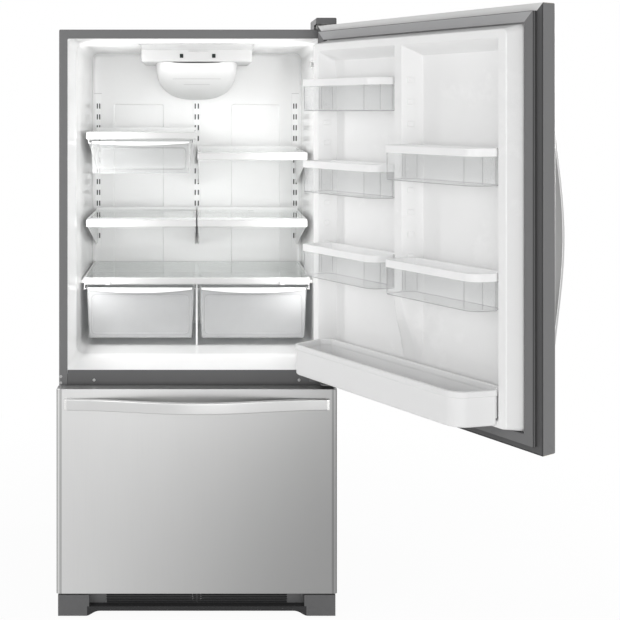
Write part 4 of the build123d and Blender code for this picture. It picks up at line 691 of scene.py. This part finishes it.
def pulled_drawer(x, y, z, draft, wall, flange, drop):
    """An open clear drawer: drafted walls, a bowed pull lip, side flanges and a framed front."""
    form = Form()
    low, top = z
    middle, half = (x[0] + x[1]) / 2, (x[1] - x[0]) / 2 - 6
    front = y[0] - 11

    def plan(height, inset):
        d = inset + draft * (top - height) / (top - low)
        return level(height, x[0] + d, x[1] - d, y[0] + d, y[1] - d, max(10 - inset, 5))

    def bow(t):
        """Height of the lip's lower edge, from -1 at its left end to 1 at its right."""
        return top - drop + (drop - 5) * t * t

    cup = ((low, 13), (low, 0), (top, 0), (top, wall), (low + wall, wall), (low + wall, wall + 13))
    form.solid([plan(h, d) for h, d in rounded(cup, [0, 7, 0.9, 0.9, 7, 0])])
    for side, inward in ((x[0], 1), (x[1], -1)):
        edges = sorted((side - inward * flange, side + inward * wall))
        form.box(edges, (y[0] + 14, y[1] - 6), (top - 2.8, top - 0.2))
    shares = [k / 14 for k in range(-14, 15)]
    rows = []
    for t in shares:
        section = (
            (y[0] + 1, top), (front, top), (front, bow(t)), (front + wall, bow(t)),
            (front + wall, top - wall), (y[0] + 1, top - wall),
        )
        outline = rounded(section, [0.2, 3.5, 0.8, 0.8, 1.5, 0.2], True, 3)
        rows.append([(middle + t * half, b, c) for b, c in outline])
    form.solid(rows, slot=1)
    corners = corners_of(12 - half, half - 12, low + 16, top - drop - 9)
    # The thinner slot 2 bead, the bead under the lip and the loop along the front's side edges are lines of
    # painted shade.
    for grow, radius, slot in ((0, 1.3, 0), (1.9, 0.55, 2)):
        border = [(a + copysign(grow, a), b + (grow if b > low + 16 else -grow)) for a, b in corners]
        bead = rounded(border, 12.0, True)
        face = [(middle + a, y[0] + draft * (top - b) / (top - low) - 0.2, b) for a, b in bead]
        form.pipe(face, radius, closed=True, slot=slot)
    form.pipe([(middle + t * half, front, bow(t) - 0.4) for t in shares], 0.6, slot=2)
    foot = [(middle + side * (half - 3), y[0] + draft, low + 3) for side in (-1, 1)]
    head = [(middle + side * (half + 3), y[0] + 1, top - 6) for side in (1, -1)]
    form.pipe(foot + head, 0.55, closed=True, slot=2)
    return form


class FRIDGE_OT_drawers(bpy.types.Operator):
    """Deli drawer, both crispers, the crisper cover with its glass, and the humidity slides"""

    bl_idname = "fridge.drawers"
    bl_label = "Clear drawers"

    def execute(self, context):
        sizes = settings()[0]
        wall, curve = sizes.drawer_wall / MM, sizes.trim_curve / MM
        deli = pulled_drawer((-338, -18), (177, 480), (1296, 1399), 4, wall, 6, 12)
        rest = ("frosted_rim", "clear_edge")
        place(deli, "deli_drawer_piece", "deli", ("clear_plastic", *rest), "deli_drawer")
        for name, x in (("crisper_left", (-351, -9)), ("crisper_right", (9, 351))):
            form = pulled_drawer(x, (177, 501), (771, 934), 6, wall, 4, 16)
            place(form, name + "_piece", name, ("crisper_plastic", *rest), name)
        trim, rails, pane = Form(), Form(), Form()
        trim.box((-360, 360), (171, 185), (944, 966))
        rails.pair((346, 360), RAIL_Y, (954, 961.8))
        rails.pair((354.4, 360), RAIL_Y, (960, 966))
        for x, y, z in (
            ((-360, 360), (524, 530), (954, 961.8)), ((-360, 360), (530, 538), (954, 966)),
            ((-7, 7), RAIL_Y, (954, 961.8)), ((-2, 2), (183, 505), (927.6, 955)),
            ((-7.5, 7.5), (183, 505), (927.6, 930.6)), ((-3, 3), (183, 205), (748.4, 928)),
        ):
            rails.box(x, y, z)
        rails.pair((358, 366), (205, 508), (954.3, 959))
        rails.pair((357, 360), (183, 505), (927.6, 955))
        rails.pair((352.5, 360), (183, 505), (927.6, 930.6))
        pane.box((-353.7, 353.7), (183.3, 529.7), (962, 965.7))
        place(trim, "crisper_trim", "cabinet", "trim_white", "crisper_cover", edge=curve, steps=4)
        place(rails, "crisper_rails", "cabinet", "liner_white", edge=0.9, steps=2)
        place(pane, "crisper_pane", "cabinet", "pane", "crisper_cover_glass", edge=0.6, steps=2)
        # Grey outlines and fills in the humidity slide slots: painted shade.
        form = Form()
        for x0, x1 in ((-289.5, -227.5), (216.5, 278.5)):
            form.pipe(upright(170.9, x0, x1, 947.3, 951.7, 2.1), 0.5, closed=True)
            form.box((x0, x1), (170.8, 171.2), (947.4, 951.6))
        place(form, "slide_slots", "cabinet", "louvre_grey")
        for side in ("left", "right"):
            softened("humidity_slider_" + side, "trim_white", 1.0)
        return {"FINISHED"}


def cover_size(y):
    """Half width and height of the light cover at a depth."""
    share = max(0.0, 1 - ((HOUSING_BACK - y) / 306) ** 2.3)
    h = 119.5 * share ** 0.62 + 0.05
    return 139.5 * (h / 119.55) ** 0.16, h


def cover_depth(x, z):
    """Depth of the light cover's skin at a place seen from the front, found by halving."""
    low, high = 236.0, float(HOUSING_BACK)
    for _ in range(30):
        y = (low + high) / 2
        w, h = cover_size(y)
        inside = (abs(x) / w) ** 2.6 + ((DOME_TOP - z) / h) ** 2.6 < 1
        low, high = (low, y) if inside else (y, high)
    return y


class FRIDGE_OT_controls(bpy.types.Operator):
    """Control housing with its windows and buttons, the light cover with its louvres drawn as lines of
    painted shade, and the bulb
    """

    bl_idname = "fridge.controls"
    bl_label = "Controls and light"

    def execute(self, context):
        form = Form()
        outline = ((95, 1705.1), (214, 1694), (234, 1656), (HOUSING_BACK, 1656), (HOUSING_BACK, 1697.7))
        side = rounded(outline, [0, 5, 5, 2, 0])

        def shrunk(x, inset):
            """The side outline at an x, drawn towards its middle."""
            return [(x, y + (330 - y) / 200 * inset, z + (1682 - z) / 26 * inset) for y, z in side]

        ends = rounded(((-177, 3), (-180, 0), (180, 0), (177, 3)), [0, 2.6, 2.6, 0], steps=3)
        form.solid([shrunk(x, inset) for x, inset in ends])
        place(form, "control_box", "cabinet", "trim_white", "control_housing")

        slope = Vector((0.0, -20.0, 38.0)).normalized()
        out = Vector((0.0, -38.0, -20.0)).normalized()

        def window_ring(x, grow, radius, lift):
            """A window's outline on the sloping front, grown and lifted off it."""
            at = Vector((x, 224, 1675)) + out * lift
            w, h = (half + grow for half in WINDOW)
            points = rounded(corners_of(-w, w, -h, h), radius, True)
            return [tuple(at + Vector((u, 0, 0)) + slope * v) for u, v in points]

        glass, frames = Form(), Form()
        for x in (-49.0, 55.0):
            for form, grow, low, top in ((glass, -0.05, 0.15, 0.5), (frames, 1.0, -0.5, 0.7)):
                path = rounded(((0, low), (0, top), (2, top)), [0, 0.4, 0])
                rings = [window_ring(x, grow - inset, 2.2, lift) for inset, lift in path]
                if form is frames:
                    rings += [window_ring(x, 0, 2.0, lift) for lift in (top - 0.05, 0.0)]
                form.skin(rings, ends=[form is glass] * 2)
        place(glass, "window_glass", "cabinet", "display", "control_windows")
        place(frames, "window_frames", "cabinet", "trim_white")
        for side in ("left", "right"):
            softened("control_button_" + side, "trim_white", 0.9)

        form = Form()
        rows = []
        for k in range(25):
            y = HOUSING_BACK - 305.5 * sin(pi / 2 * k / 24)
            w, h = cover_size(y)
            row = []
            for j in range(33):
                a = pi * (j / 32 - 0.5)
                reach = (abs(sin(a)) ** 2.6 + abs(cos(a)) ** 2.6) ** (-1 / 2.6)
                row.append((w * reach * sin(a), y, DOME_TOP - h * reach * cos(a)))
            rows.append(row)
        form.skin(rows, closed=False)
        place(form, "light_shade", "cabinet", "dome_white", "light_cover", wall=-2.0)
        # Grey lines where the cover's louvre slots are: painted shade.
        form = Form()
        for z, w in ((1602, 79), (1584, 43)):
            rows = []
            for k in range(-16, 17):
                x = w * k / 16
                section = ((-1.1, -0.4), (-1.1, 0.4), (1.1, 0.4), (1.1, -0.4))
                rows.append([(x, cover_depth(x, z + up) - lift, z + up) for up, lift in section])
            form.solid(rows)
        place(form, "light_louvres", "cabinet", "louvre_grey")
        form = Form()
        bulb = (
            (0.01, -64.5), (6, -63.7), (12, -60), (17, -53.5), (19.8, -45), (19.6, -37), (17, -30),
            (13.5, -25), (12.6, -20),
        )
        form.turned(bulb, (0, 400, 1656), steps=36)
        screw = [(12.8 + 0.7 * (k % 2), -22 + 1.3 * k) for k in range(5)]
        form.turned(screw + [(15, -16.5), (15, 0), (0.01, 0)], (0, 400, 1656), steps=36, slot=1)
        place(form, "lamp", "cabinet", ("bulb", "zinc_steel"), "light_bulb")
        softened("light_switch", "trim_white", 0.4)
        return {"FINISHED"}


def steel_box(z0, z1, edge, crown):
    """A folded door box: flat front with rounded upright edges, grey sides behind."""
    form = Form()

    def plan(z, d):
        corners = corners_of(d - CASE_X, CASE_X - d, FRONT_Y + d, HEM_Y - d)
        return [(x, y, z) for x, y in rounded(corners, [edge, edge, 1.5, 1.5], True, 6)]

    stations = rounded(((z0, 8), (z0, 0), (z1, 0), (z1, 8)), [0, crown, crown, 0], steps=5)
    form.solid([plan(z, d) for z, d in stations])
    form.sort(lambda m: 1 if abs(m.x) > CASE_X - 5 and m.y > FRONT_Y + 6 else 0)
    return form


def hem(z0, z1):
    """The grey turned-in border of a door box behind its seal, parted from the folded edge by a groove. Its
    top is painted light, its sides and bottom painted shade, and the groove beside them painted shade.
    """
    form = Form()
    profile = ((0.6, -16.4), (0.6, -15.92), (4.2, -15.92), (4.3, -15.6), (18.2, -15.6), (18.2, -16.2))
    rings = [upright(y, d - CASE_X, CASE_X - d, z0 + d, z1 - d, 0.1) for d, y in profile]
    form.skin(rings, loop=True)

    # Painted light on the top strip; painted shade in the groove and on the sides and bottom.
    def finish(m):
        across, up = CASE_X - abs(m.x), z1 - m.z
        if up < across:
            return 2
        return 1 if min(across, m.z - z0) < 4.25 else 0

    form.sort(finish)
    return form


def seal(z0, z1):
    """A gasket with a flat base, a folded bellows and a bulb, round a door's inner face. Its bellows folds
    are painted shade and its top strip painted light.
    """
    form = Form()
    half, low, high = CASE_X - 17, z0 + 17, z1 - 17
    profile = (
        (1.2, -15.8), (1.2, -12.5), (3.6, -11.5), (3.6, -9.5), (1.4, -8.5), (1.4, -6), (3.4, -5), (2.6, -1.4),
        (27.4, -1.4), (27.8, -4), (25.5, -5.5), (27.5, -7), (27.5, -15.8),
    )
    reach = [0.2, 0.5, 0.5, 0.5, 0.5, 0.5, 0.5, 1.2, 1.2, 0.6, 0.5, 0.5, 0.2]
    section = rounded(profile, reach, True, 2)
    form.skin([upright(y, d - half, half - d, low + d, high - d, 2.0) for d, y in section], loop=True)

    # Painted shade on the bellows folds near the outer edge; painted light on the top strip.
    def finish(m):
        across, up = half - abs(m.x), high - m.z
        if min(across, up, m.z - low) < 3.6 and m.y < -4 and not -8.4 < m.y < -6:
            return 1
        return 2 if up < across else 0

    form.sort(finish)
    return form


class FRIDGE_OT_doors(bpy.types.Operator):
    """Both door boxes in brushed steel, their seals, and the freezer front's inner liner"""

    bl_idname = "fridge.doors"
    bl_label = "Door boxes and seals"

    def execute(self, context):
        edge = settings()[0].door_edge / MM
        fold = ("hem_dark", "gasket_dark", "hem_pale")
        rubber = ("gasket_rubber", "gasket_dark", "gasket_pale")
        for body, z, crown, steel in (
            ("door", DOOR_Z, 5.0, "stainless_door"), ("drawer", DRAWER_Z, 1.6, "stainless"),
        ):
            turned = body == "door"
            box = steel_box(*z, edge, crown)
            place(box, body + "_box", body, (steel, "door_side"), body + "_skin", turned=turned)
            place(hem(*z), body + "_hem", body, fold, turned=turned)
            place(seal(*z), body + "_seal", body, rubber, body + "_gasket", turned=turned)
        softened("drawer_liner", "liner_white", 4.0, steps=3)
        kept("door_foam", "foam")
        kept("drawer_foam", "foam")
        softened("door_hinge_bushes", "nylon", 0.5)
        return {"FINISHED"}


def steps_near(low, high, places, fine, coarse):
    """Rising values from low to high, close together near some places and far apart elsewhere."""
    made = [low]
    while made[-1] < high:
        near = any(a - fine < made[-1] < b for a, b in places)
        made.append(min(high, made[-1] + (fine if near else coarse)))
    return made


def recess_height(x, z):
    """Depth of the door liner inside its opening: leaning walls, a flat floor and a rounded centre rib."""

    def ramp(t):
        t = min(1.0, max(0.0, t))
        return t * t * (3 - 2 * t) * 0.2 + t * 0.8

    near = ((RECESS_X - abs(x)) / 28, (z - 764) / 10, (1671 - z) / 28)
    walls = sum(t ** -4 for t in near) ** -0.25 if min(near) > 0 else 0.0
    run = min(1.0, max(0.0, (1010 - z) / 190))
    rib = (max(0.0, (abs(x - 5) - 13.5) / 29) ** 4 + (run * run * (3 - 2 * run)) ** 4) ** 0.25
    return DIKE_Y - 50 * min(ramp(walls), ramp(rib))


class FRIDGE_OT_door_liner(bpy.types.Operator):
    """Door liner: a raised border round one tall recess with a centre rib, and studs for the bins"""

    bl_idname = "fridge.door_liner"
    bl_label = "Door liner"

    def execute(self, context):
        sizes = settings()[0]
        form = Form()
        border = (
            (-15.9, -398, 398, 709, 1734, 2), (-15.9, -371, 371, 736, 1707, 16),
            (DIKE_Y, -360, 360, 748, 1692, 14), (DIKE_Y, -354, 354, 754, 1686, 12),
        )
        stations = rounded(border, [0, 3, sizes.dike_curve / MM, 0], steps=5, lead=2)
        rings = [upright(*s) for s in stations]
        form.skin(rings)
        across = steps_near(-338, 338, ((-338, -300), (-40, 50), (300, 338)), 2.0, 20.0)
        along = steps_near(762, 1673, ((762, 782), (815, 1020), (1630, 1673)), 2.5, 24.0)
        grid = [[(x, recess_height(x, z), z) for x in across] for z in along]
        form.skin(grid, closed=False)
        rim = grid[0] + [row[-1] for row in grid[1:-1]] + grid[-1][::-1] + [row[0] for row in grid[-2:0:-1]]
        form.plate([rings[-1], rim])
        wall = sizes.liner_wall / MM
        place(form, "door_inside", "door", "door_white", "door_liner", wall=wall, turned=True)
        studs = Form()
        stud = ((27 * LEAN - 1, 19), (27 * LEAN + 4, 19), (13 * LEAN + 4, 33), (13 * LEAN - 1, 33))
        for k in range(9):
            z = 1579.5 - STUD_PITCH * k
            for wall, inward in zip(BINS_LEFT + BINS_RIGHT, (1, -1, 1, -1)):
                studs.solid([[(wall + inward * x, y, h) for x, y in stud] for h in (z - 7, z + 7)])
        place(studs, "door_studs", "door", "door_white", edge=1.4, turned=True)
        return {"FINISHED"}


def bin_plan(span, wall, front=109, noses=(22, 4), curves=(28, 6)):
    """Level outline of a door bin, drawn in by an inset.

    Noses and curves are for its two front corners, the one further from the hinge first.
    """
    side = 3.0
    x0, x1 = span[0] + wall, span[1] - wall
    deep = LEAN * (DIKE_Y - 13) + side
    outline = (
        (x0 + deep, 13 + wall), (x0 + side, DIKE_Y), (x0 + noses[0], front - wall),
        (x1 - noses[1], front - wall), (x1 - side, DIKE_Y), (x1 - deep, 13 + wall),
    )
    far, near = (max(c - wall * 0.5, 2.0) for c in curves)
    return rounded(outline, [2, 6, far, near, 6, 2], True, 5)


class FRIDGE_OT_bins(bpy.types.Operator):
    """Clear door bins with thick frosted rims, and the wide white bin at the bottom"""

    bl_idname = "fridge.bins"
    bl_label = "Door bins"

    def execute(self, context):
        sizes = settings()[0]
        wall, rim_h = sizes.bin_wall / MM, sizes.bin_rim / MM
        folds = (9, 12, 17, 18, 23, 26, 29, 35)  # of a plan's 36 points, those with an upright line of painted shade
        left, right = ("left", BINS_LEFT, (1588, 1356, 1117)), ("right", BINS_RIGHT, (1410, 1114))
        for name, span, tops in (left, right):
            form, edge_shade_lines = Form(), Form()
            for top in tops:
                low, rim = top - BIN_DEPTH, top - rim_h
                path = (
                    (low, 14), (low, 2), (rim, 2), (rim, 0), (top, 0), (top, 5), (rim + 1, 5),
                    (rim + 1, 2 + wall), (low + wall, 2 + wall), (low + wall, 16),
                )
                stations = rounded(path, [0, 6, 0.4, 2, 2.2, 2.2, 0.6, 0.6, 5, 0], steps=3)
                form.solid([[(x, y, z) for x, y in bin_plan(span, d)] for z, d in stations])
                form.sort(lambda m: 1 if any(t - rim_h - 0.3 < m.z < t + 1 for t in tops) else 0)
                outline = bin_plan(span, 2.2)
                # Painted shade along each bin's bottom edge and upright folds.
                edge_shade_lines.pipe([(x, y, low + 1.4) for x, y in bin_plan(span, 3.4)], 0.8, True)
                for k in folds:
                    x, y = outline[k]
                    edge_shade_lines.pipe([(x, y, low + 5), (x, y, rim)], 0.6)
            bins = ("clear_plastic", "frosted_rim")
            place(form, "bins_" + name, "door", bins, "door_bins_" + name, turned=True)
            place(edge_shade_lines, "bin_lines_" + name, "door", "clear_edge", turned=True)
        form = Form()

        def plan(z, d):
            """The bin's outline at a height; its foot is shallower, to clear the border under the recess."""
            points = bin_plan((-RECESS_X, RECESS_X), d, 150, (36, 15), (36, 18))
            return [(x, max(y, DIKE_Y + 0.4 + d) if z < 769.5 else y, z) for x, y in points]

        path = (
            (752, 18), (752, 2), (769, 2), (770, 2), (822, 2), (824, 0), (838, 0), (838, 8), (824, 8),
            (820, 6), (774, 6), (773, 6), (756, 6), (756, 22),
        )
        heights = rounded(path, [0, 6, 0, 0, 0.8, 2, 4, 4, 2, 1, 0, 0, 4, 0], steps=3)
        form.solid([plan(z, d) for z, d in heights])
        place(form, "gallon_shelf", "door", "gallon_white", "gallon_bin", turned=True)
        return {"FINISHED"}


def bowed_bar(at, curve):
    """A flat bar that bows away between its ends; at(along, out, across) gives its points."""
    form = Form()
    section = rounded(((0, -17), (0, 17), (10, 17), (10, -17)), [1.2, 1.2, curve, curve], True)
    rings = []
    for k in range(-40, 41):
        t = sin(pi / 2 * k / 40) if abs(k) > 34 else k / 40 * 1.006
        lift = 23 * (1 + cos(pi * t))
        squeeze = 1.0 if abs(k) < 40 else 0.94
        rings.append([at(HANDLE_REACH * t, lift + o * squeeze, a * squeeze) for o, a in section])
    form.solid(rings)
    return form


class FRIDGE_OT_handles(bpy.types.Operator):
    """Bowed handles of the door and the freezer drawer"""

    bl_idname = "fridge.handles"
    bl_label = "Handles"

    def execute(self, context):
        curve = settings()[0].handle_curve / MM
        form = bowed_bar(lambda along, out, across: (along, FRONT_Y - out, 629 + across), curve)
        form.sort(lambda m: 1 if abs(m.x) > 386 else 0)
        place(form, "drawer_bow", "drawer", ("stainless_across", "stainless_bright"), "drawer_handle")
        form = bowed_bar(lambda along, out, across: (across - 380, FRONT_Y - out, 1197 + along), curve)
        form.sort(lambda m: 1 if abs(m.z - 1197) > 386 else 0)
        place(form, "door_bow", "door", ("stainless_door", "stainless_bright"), "door_handle", turned=True)
        return {"FINISHED"}


class FRIDGE_OT_hinges(bpy.types.Operator):
    """Top and centre hinges and the cover of the top one"""

    bl_idname = "fridge.hinges"
    bl_label = "Hinges"

    def execute(self, context):
        softened("top_hinge", "zinc_steel", 0.6)
        softened("centre_hinge", "case_paint", 0.7)
        softened("top_hinge_cover", "grey_plastic", 0.8)
        return {"FINISHED"}


class FRIDGE_OT_base(bpy.types.Operator):
    """Base grille with its foot shrouds, base frame, legs and rollers"""

    bl_idname = "fridge.base"
    bl_label = "Base"

    def execute(self, context):
        cuts = [((x, 0, 0), (1, 0, 0)) for x in (-325, -268, 268, 325)] + [((0, 0, 29.4), (0, 0, 1))]

        # The lip below 29.4 mm takes slot_shadow, painted shadow; the louvres between the feet take dark
        # plastic.
        def finish(m):
            if abs(m.x) > 325:
                return 0
            return 1 if m.z < 29.4 else (2 if abs(m.x) < 268 else 0)

        softened("base_grille", ("grey_plastic", "slot_shadow", "dark_plastic"), 2.0, cuts, finish)
        # Black plates behind the louvres: painted shade where the compartment behind lies open.
        form = Form()
        form.pair((12.4, 322), (-32.4, -31.2), (19.4, 59.6))
        place(form, "grille_backs", "cabinet", "slot_shadow")
        softened("base_frame", "zinc_steel", 0.5)
        softened("levelling_legs", "zinc_steel", 0.8)
        softened("rear_rollers", "nylon", 0.5)
        softened("front_rollers", "nylon", 0.5)
        return {"FINISHED"}


class FRIDGE_OT_freezer(bpy.types.Operator):
    """Freezer bin, tray, drawer frame and telescoping slides"""

    bl_idname = "fridge.freezer"
    bl_label = "Freezer drawer"

    def execute(self, context):
        softened("freezer_bin", "crisper_plastic", 1.2)
        softened("freezer_tray", "crisper_plastic", 1.2)
        softened("drawer_frame", "zinc_steel", 0.5)
        softened("slide_middle_members", "zinc_steel", 0.4)
        softened("slide_cabinet_members", "zinc_steel", 0.4)
        return {"FINISHED"}


class FRIDGE_OT_cooling(bpy.types.Operator):
    """Compressor, condenser, evaporator, fans, drain pan and their covers"""

    bl_idname = "fridge.cooling"
    bl_label = "Cooling system"

    def execute(self, context):
        softened("compressor", "black_metal", 1.0)
        softened("evaporator_cover", "liner_white", 0.7)
        softened("drain_pan", "drip_tray", 0.6)
        softened("condenser_fan", "dark_plastic", 0.5)
        softened("evaporator_fan", "trim_white", 0.5)
        kept("condenser", "black_metal")
        kept("evaporator", "copper_aluminium")
        return {"FINISHED"}


class FRIDGE_OT_stage(bpy.types.Operator):
    """Pale floor, soft studio light and the camera"""

    bl_idname = "fridge.stage"
    bl_label = "Stage"

    def execute(self, context):
        scene = bpy.context.scene
        scene.view_settings.view_transform = "Standard"
        f = Finish(bpy.data.materials.new("pale_floor"))
        camera, glossy = (f.add("LightPath", out=o) for o in ("Is Camera Ray", "Is Glossy Ray"))
        own = f.add("TexCoord", out="Object")
        away = f.add("VectorMath", {"operation": "LENGTH"}, {0: own}, "Value")
        cloth = f.gloss(colour=f.shaded((0.93, 0.93, 0.93), f.noise(40.0, 3.0), 0.99, 1.0), rough=0.9)
        plain = f.add("Emission", None, {"Color": (1, 1, 1, 1), "Strength": 1.0})
        share = (away.between(0.9, 2.2) * 0.05 + 0.95) * camera.maths("MAXIMUM", glossy)
        f.done(f.blend(share, cloth, plain))
        form = Form()
        turns = [pi * k / 32 for k in range(64)]
        form.plate([[(FLOOR_RADIUS * cos(a), FLOOR_RADIUS * sin(a), -0.4) for a in turns]])
        data = bpy.data.meshes.new("floor")
        form.mesh.to_mesh(data)
        form.mesh.free()
        data.transform(Matrix.Scale(MM, 4))
        data.materials.append(bpy.data.materials["pale_floor"])
        floor = bpy.data.objects.new("floor", data)
        scene.collection.objects.link(floor)

        world = bpy.data.worlds.new("studio")
        w = Finish(world)
        rays = ("Is Camera Ray", "Is Glossy Ray", "Is Transmission Ray")
        camera, glossy, passing = (w.add("LightPath", out=o) for o in rays)
        seen = camera.maths("MAXIMUM", glossy.maths("MAXIMUM", passing))
        sky = w.add("Background", None, {"Color": (1, 1, 1, 1), "Strength": seen * 0.64 + 0.36})
        w.done(sky, "OutputWorld")
        scene.world = world

        for name, at, aim, size, power in (
            ("key", (-2.9, -3.3, 2.2), (0.2, 0.1, 1.1), (2.4, 2.4), 57.5),
            ("fill", (0.6, -4.4, 0.9), (0.0, 0.3, 1.3), (2.6, 2.6), 34.5),
            ("right", (2.7, -3.6, 1.6), (-0.3, 0.3, 1.2), (2.2, 2.2), 20.5),
            ("back", (-2.6, 3.9, 2.6), (0.0, 0.6, 0.9), (2.4, 2.4), 60.0),
            ("side", (3.9, 2.2, 2.0), (0.4, 0.3, 0.9), (2.4, 2.4), 60.0),
            ("inside_left", (-0.365, 0.09, 1.28), (0.365, 0.26, 1.28), (0.05, 0.78), 2.35),
            ("inside_right", (0.365, 0.09, 1.28), (-0.365, 0.26, 1.28), (0.05, 0.78), 2.35),
        ):
            lamp = bpy.data.lights.new(name, "AREA")
            lamp.shape, lamp.energy = "ELLIPSE" if size[0] > 1 else "RECTANGLE", power
            lamp.size, lamp.size_y = size
            shown = bpy.data.objects.new(name, lamp)
            shown.visible_camera = shown.visible_glossy = size[0] > 1
            shown.location = at
            shown.rotation_euler = (Vector(aim) - Vector(at)).to_track_quat("-Z", "Y").to_euler()
            scene.collection.objects.link(shown)

        lens = bpy.data.cameras.new("view")
        lens.sensor_width, lens.lens = 36.0, 61.45
        lens.shift_x, lens.shift_y = 0.18266, -0.3234
        eye = bpy.data.objects.new("view", lens)
        eye.location = (0.0, -3.1958, 1.5014)
        eye.rotation_euler = (radians(90), 0, 0)
        scene.collection.objects.link(eye)
        scene.camera = eye
        return {"FINISHED"}


STEPS = (
    FRIDGE_OT_finishes, FRIDGE_OT_stage, FRIDGE_OT_case, FRIDGE_OT_liners, FRIDGE_OT_tracks,
    FRIDGE_OT_shelves, FRIDGE_OT_drawers, FRIDGE_OT_controls, FRIDGE_OT_doors, FRIDGE_OT_door_liner,
    FRIDGE_OT_bins, FRIDGE_OT_handles, FRIDGE_OT_hinges, FRIDGE_OT_base, FRIDGE_OT_freezer,
    FRIDGE_OT_cooling,
)


class FRIDGE_PT_panel(bpy.types.Panel):
    """Lists the refrigerator's sizes, colours and building steps"""

    bl_idname = "FRIDGE_PT_panel"
    bl_label = "Refrigerator"
    bl_space_type = "VIEW_3D"
    bl_region_type = "UI"
    bl_category = "Refrigerator"

    def draw(self, context):
        for group in settings():
            for key in group.__annotations__:
                self.layout.prop(group, key)
        for step in STEPS:
            self.layout.operator(step.bl_idname)


CLASSES = (FridgeSizes, FridgeColours, *STEPS, FRIDGE_PT_panel)


def register():
    for made in CLASSES:
        bpy.utils.register_class(made)
    bpy.types.Scene.fridge_sizes = bpy.props.PointerProperty(type=FridgeSizes)
    bpy.types.Scene.fridge_colours = bpy.props.PointerProperty(type=FridgeColours)


def unregister():
    del bpy.types.Scene.fridge_colours
    del bpy.types.Scene.fridge_sizes
    for made in reversed(CLASSES):
        bpy.utils.unregister_class(made)


def main():
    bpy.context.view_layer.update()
    register()
    for step in STEPS:
        group, name = step.bl_idname.split(".")
        getattr(getattr(bpy.ops, group), name)()


if __name__ == "__main__":
    main()
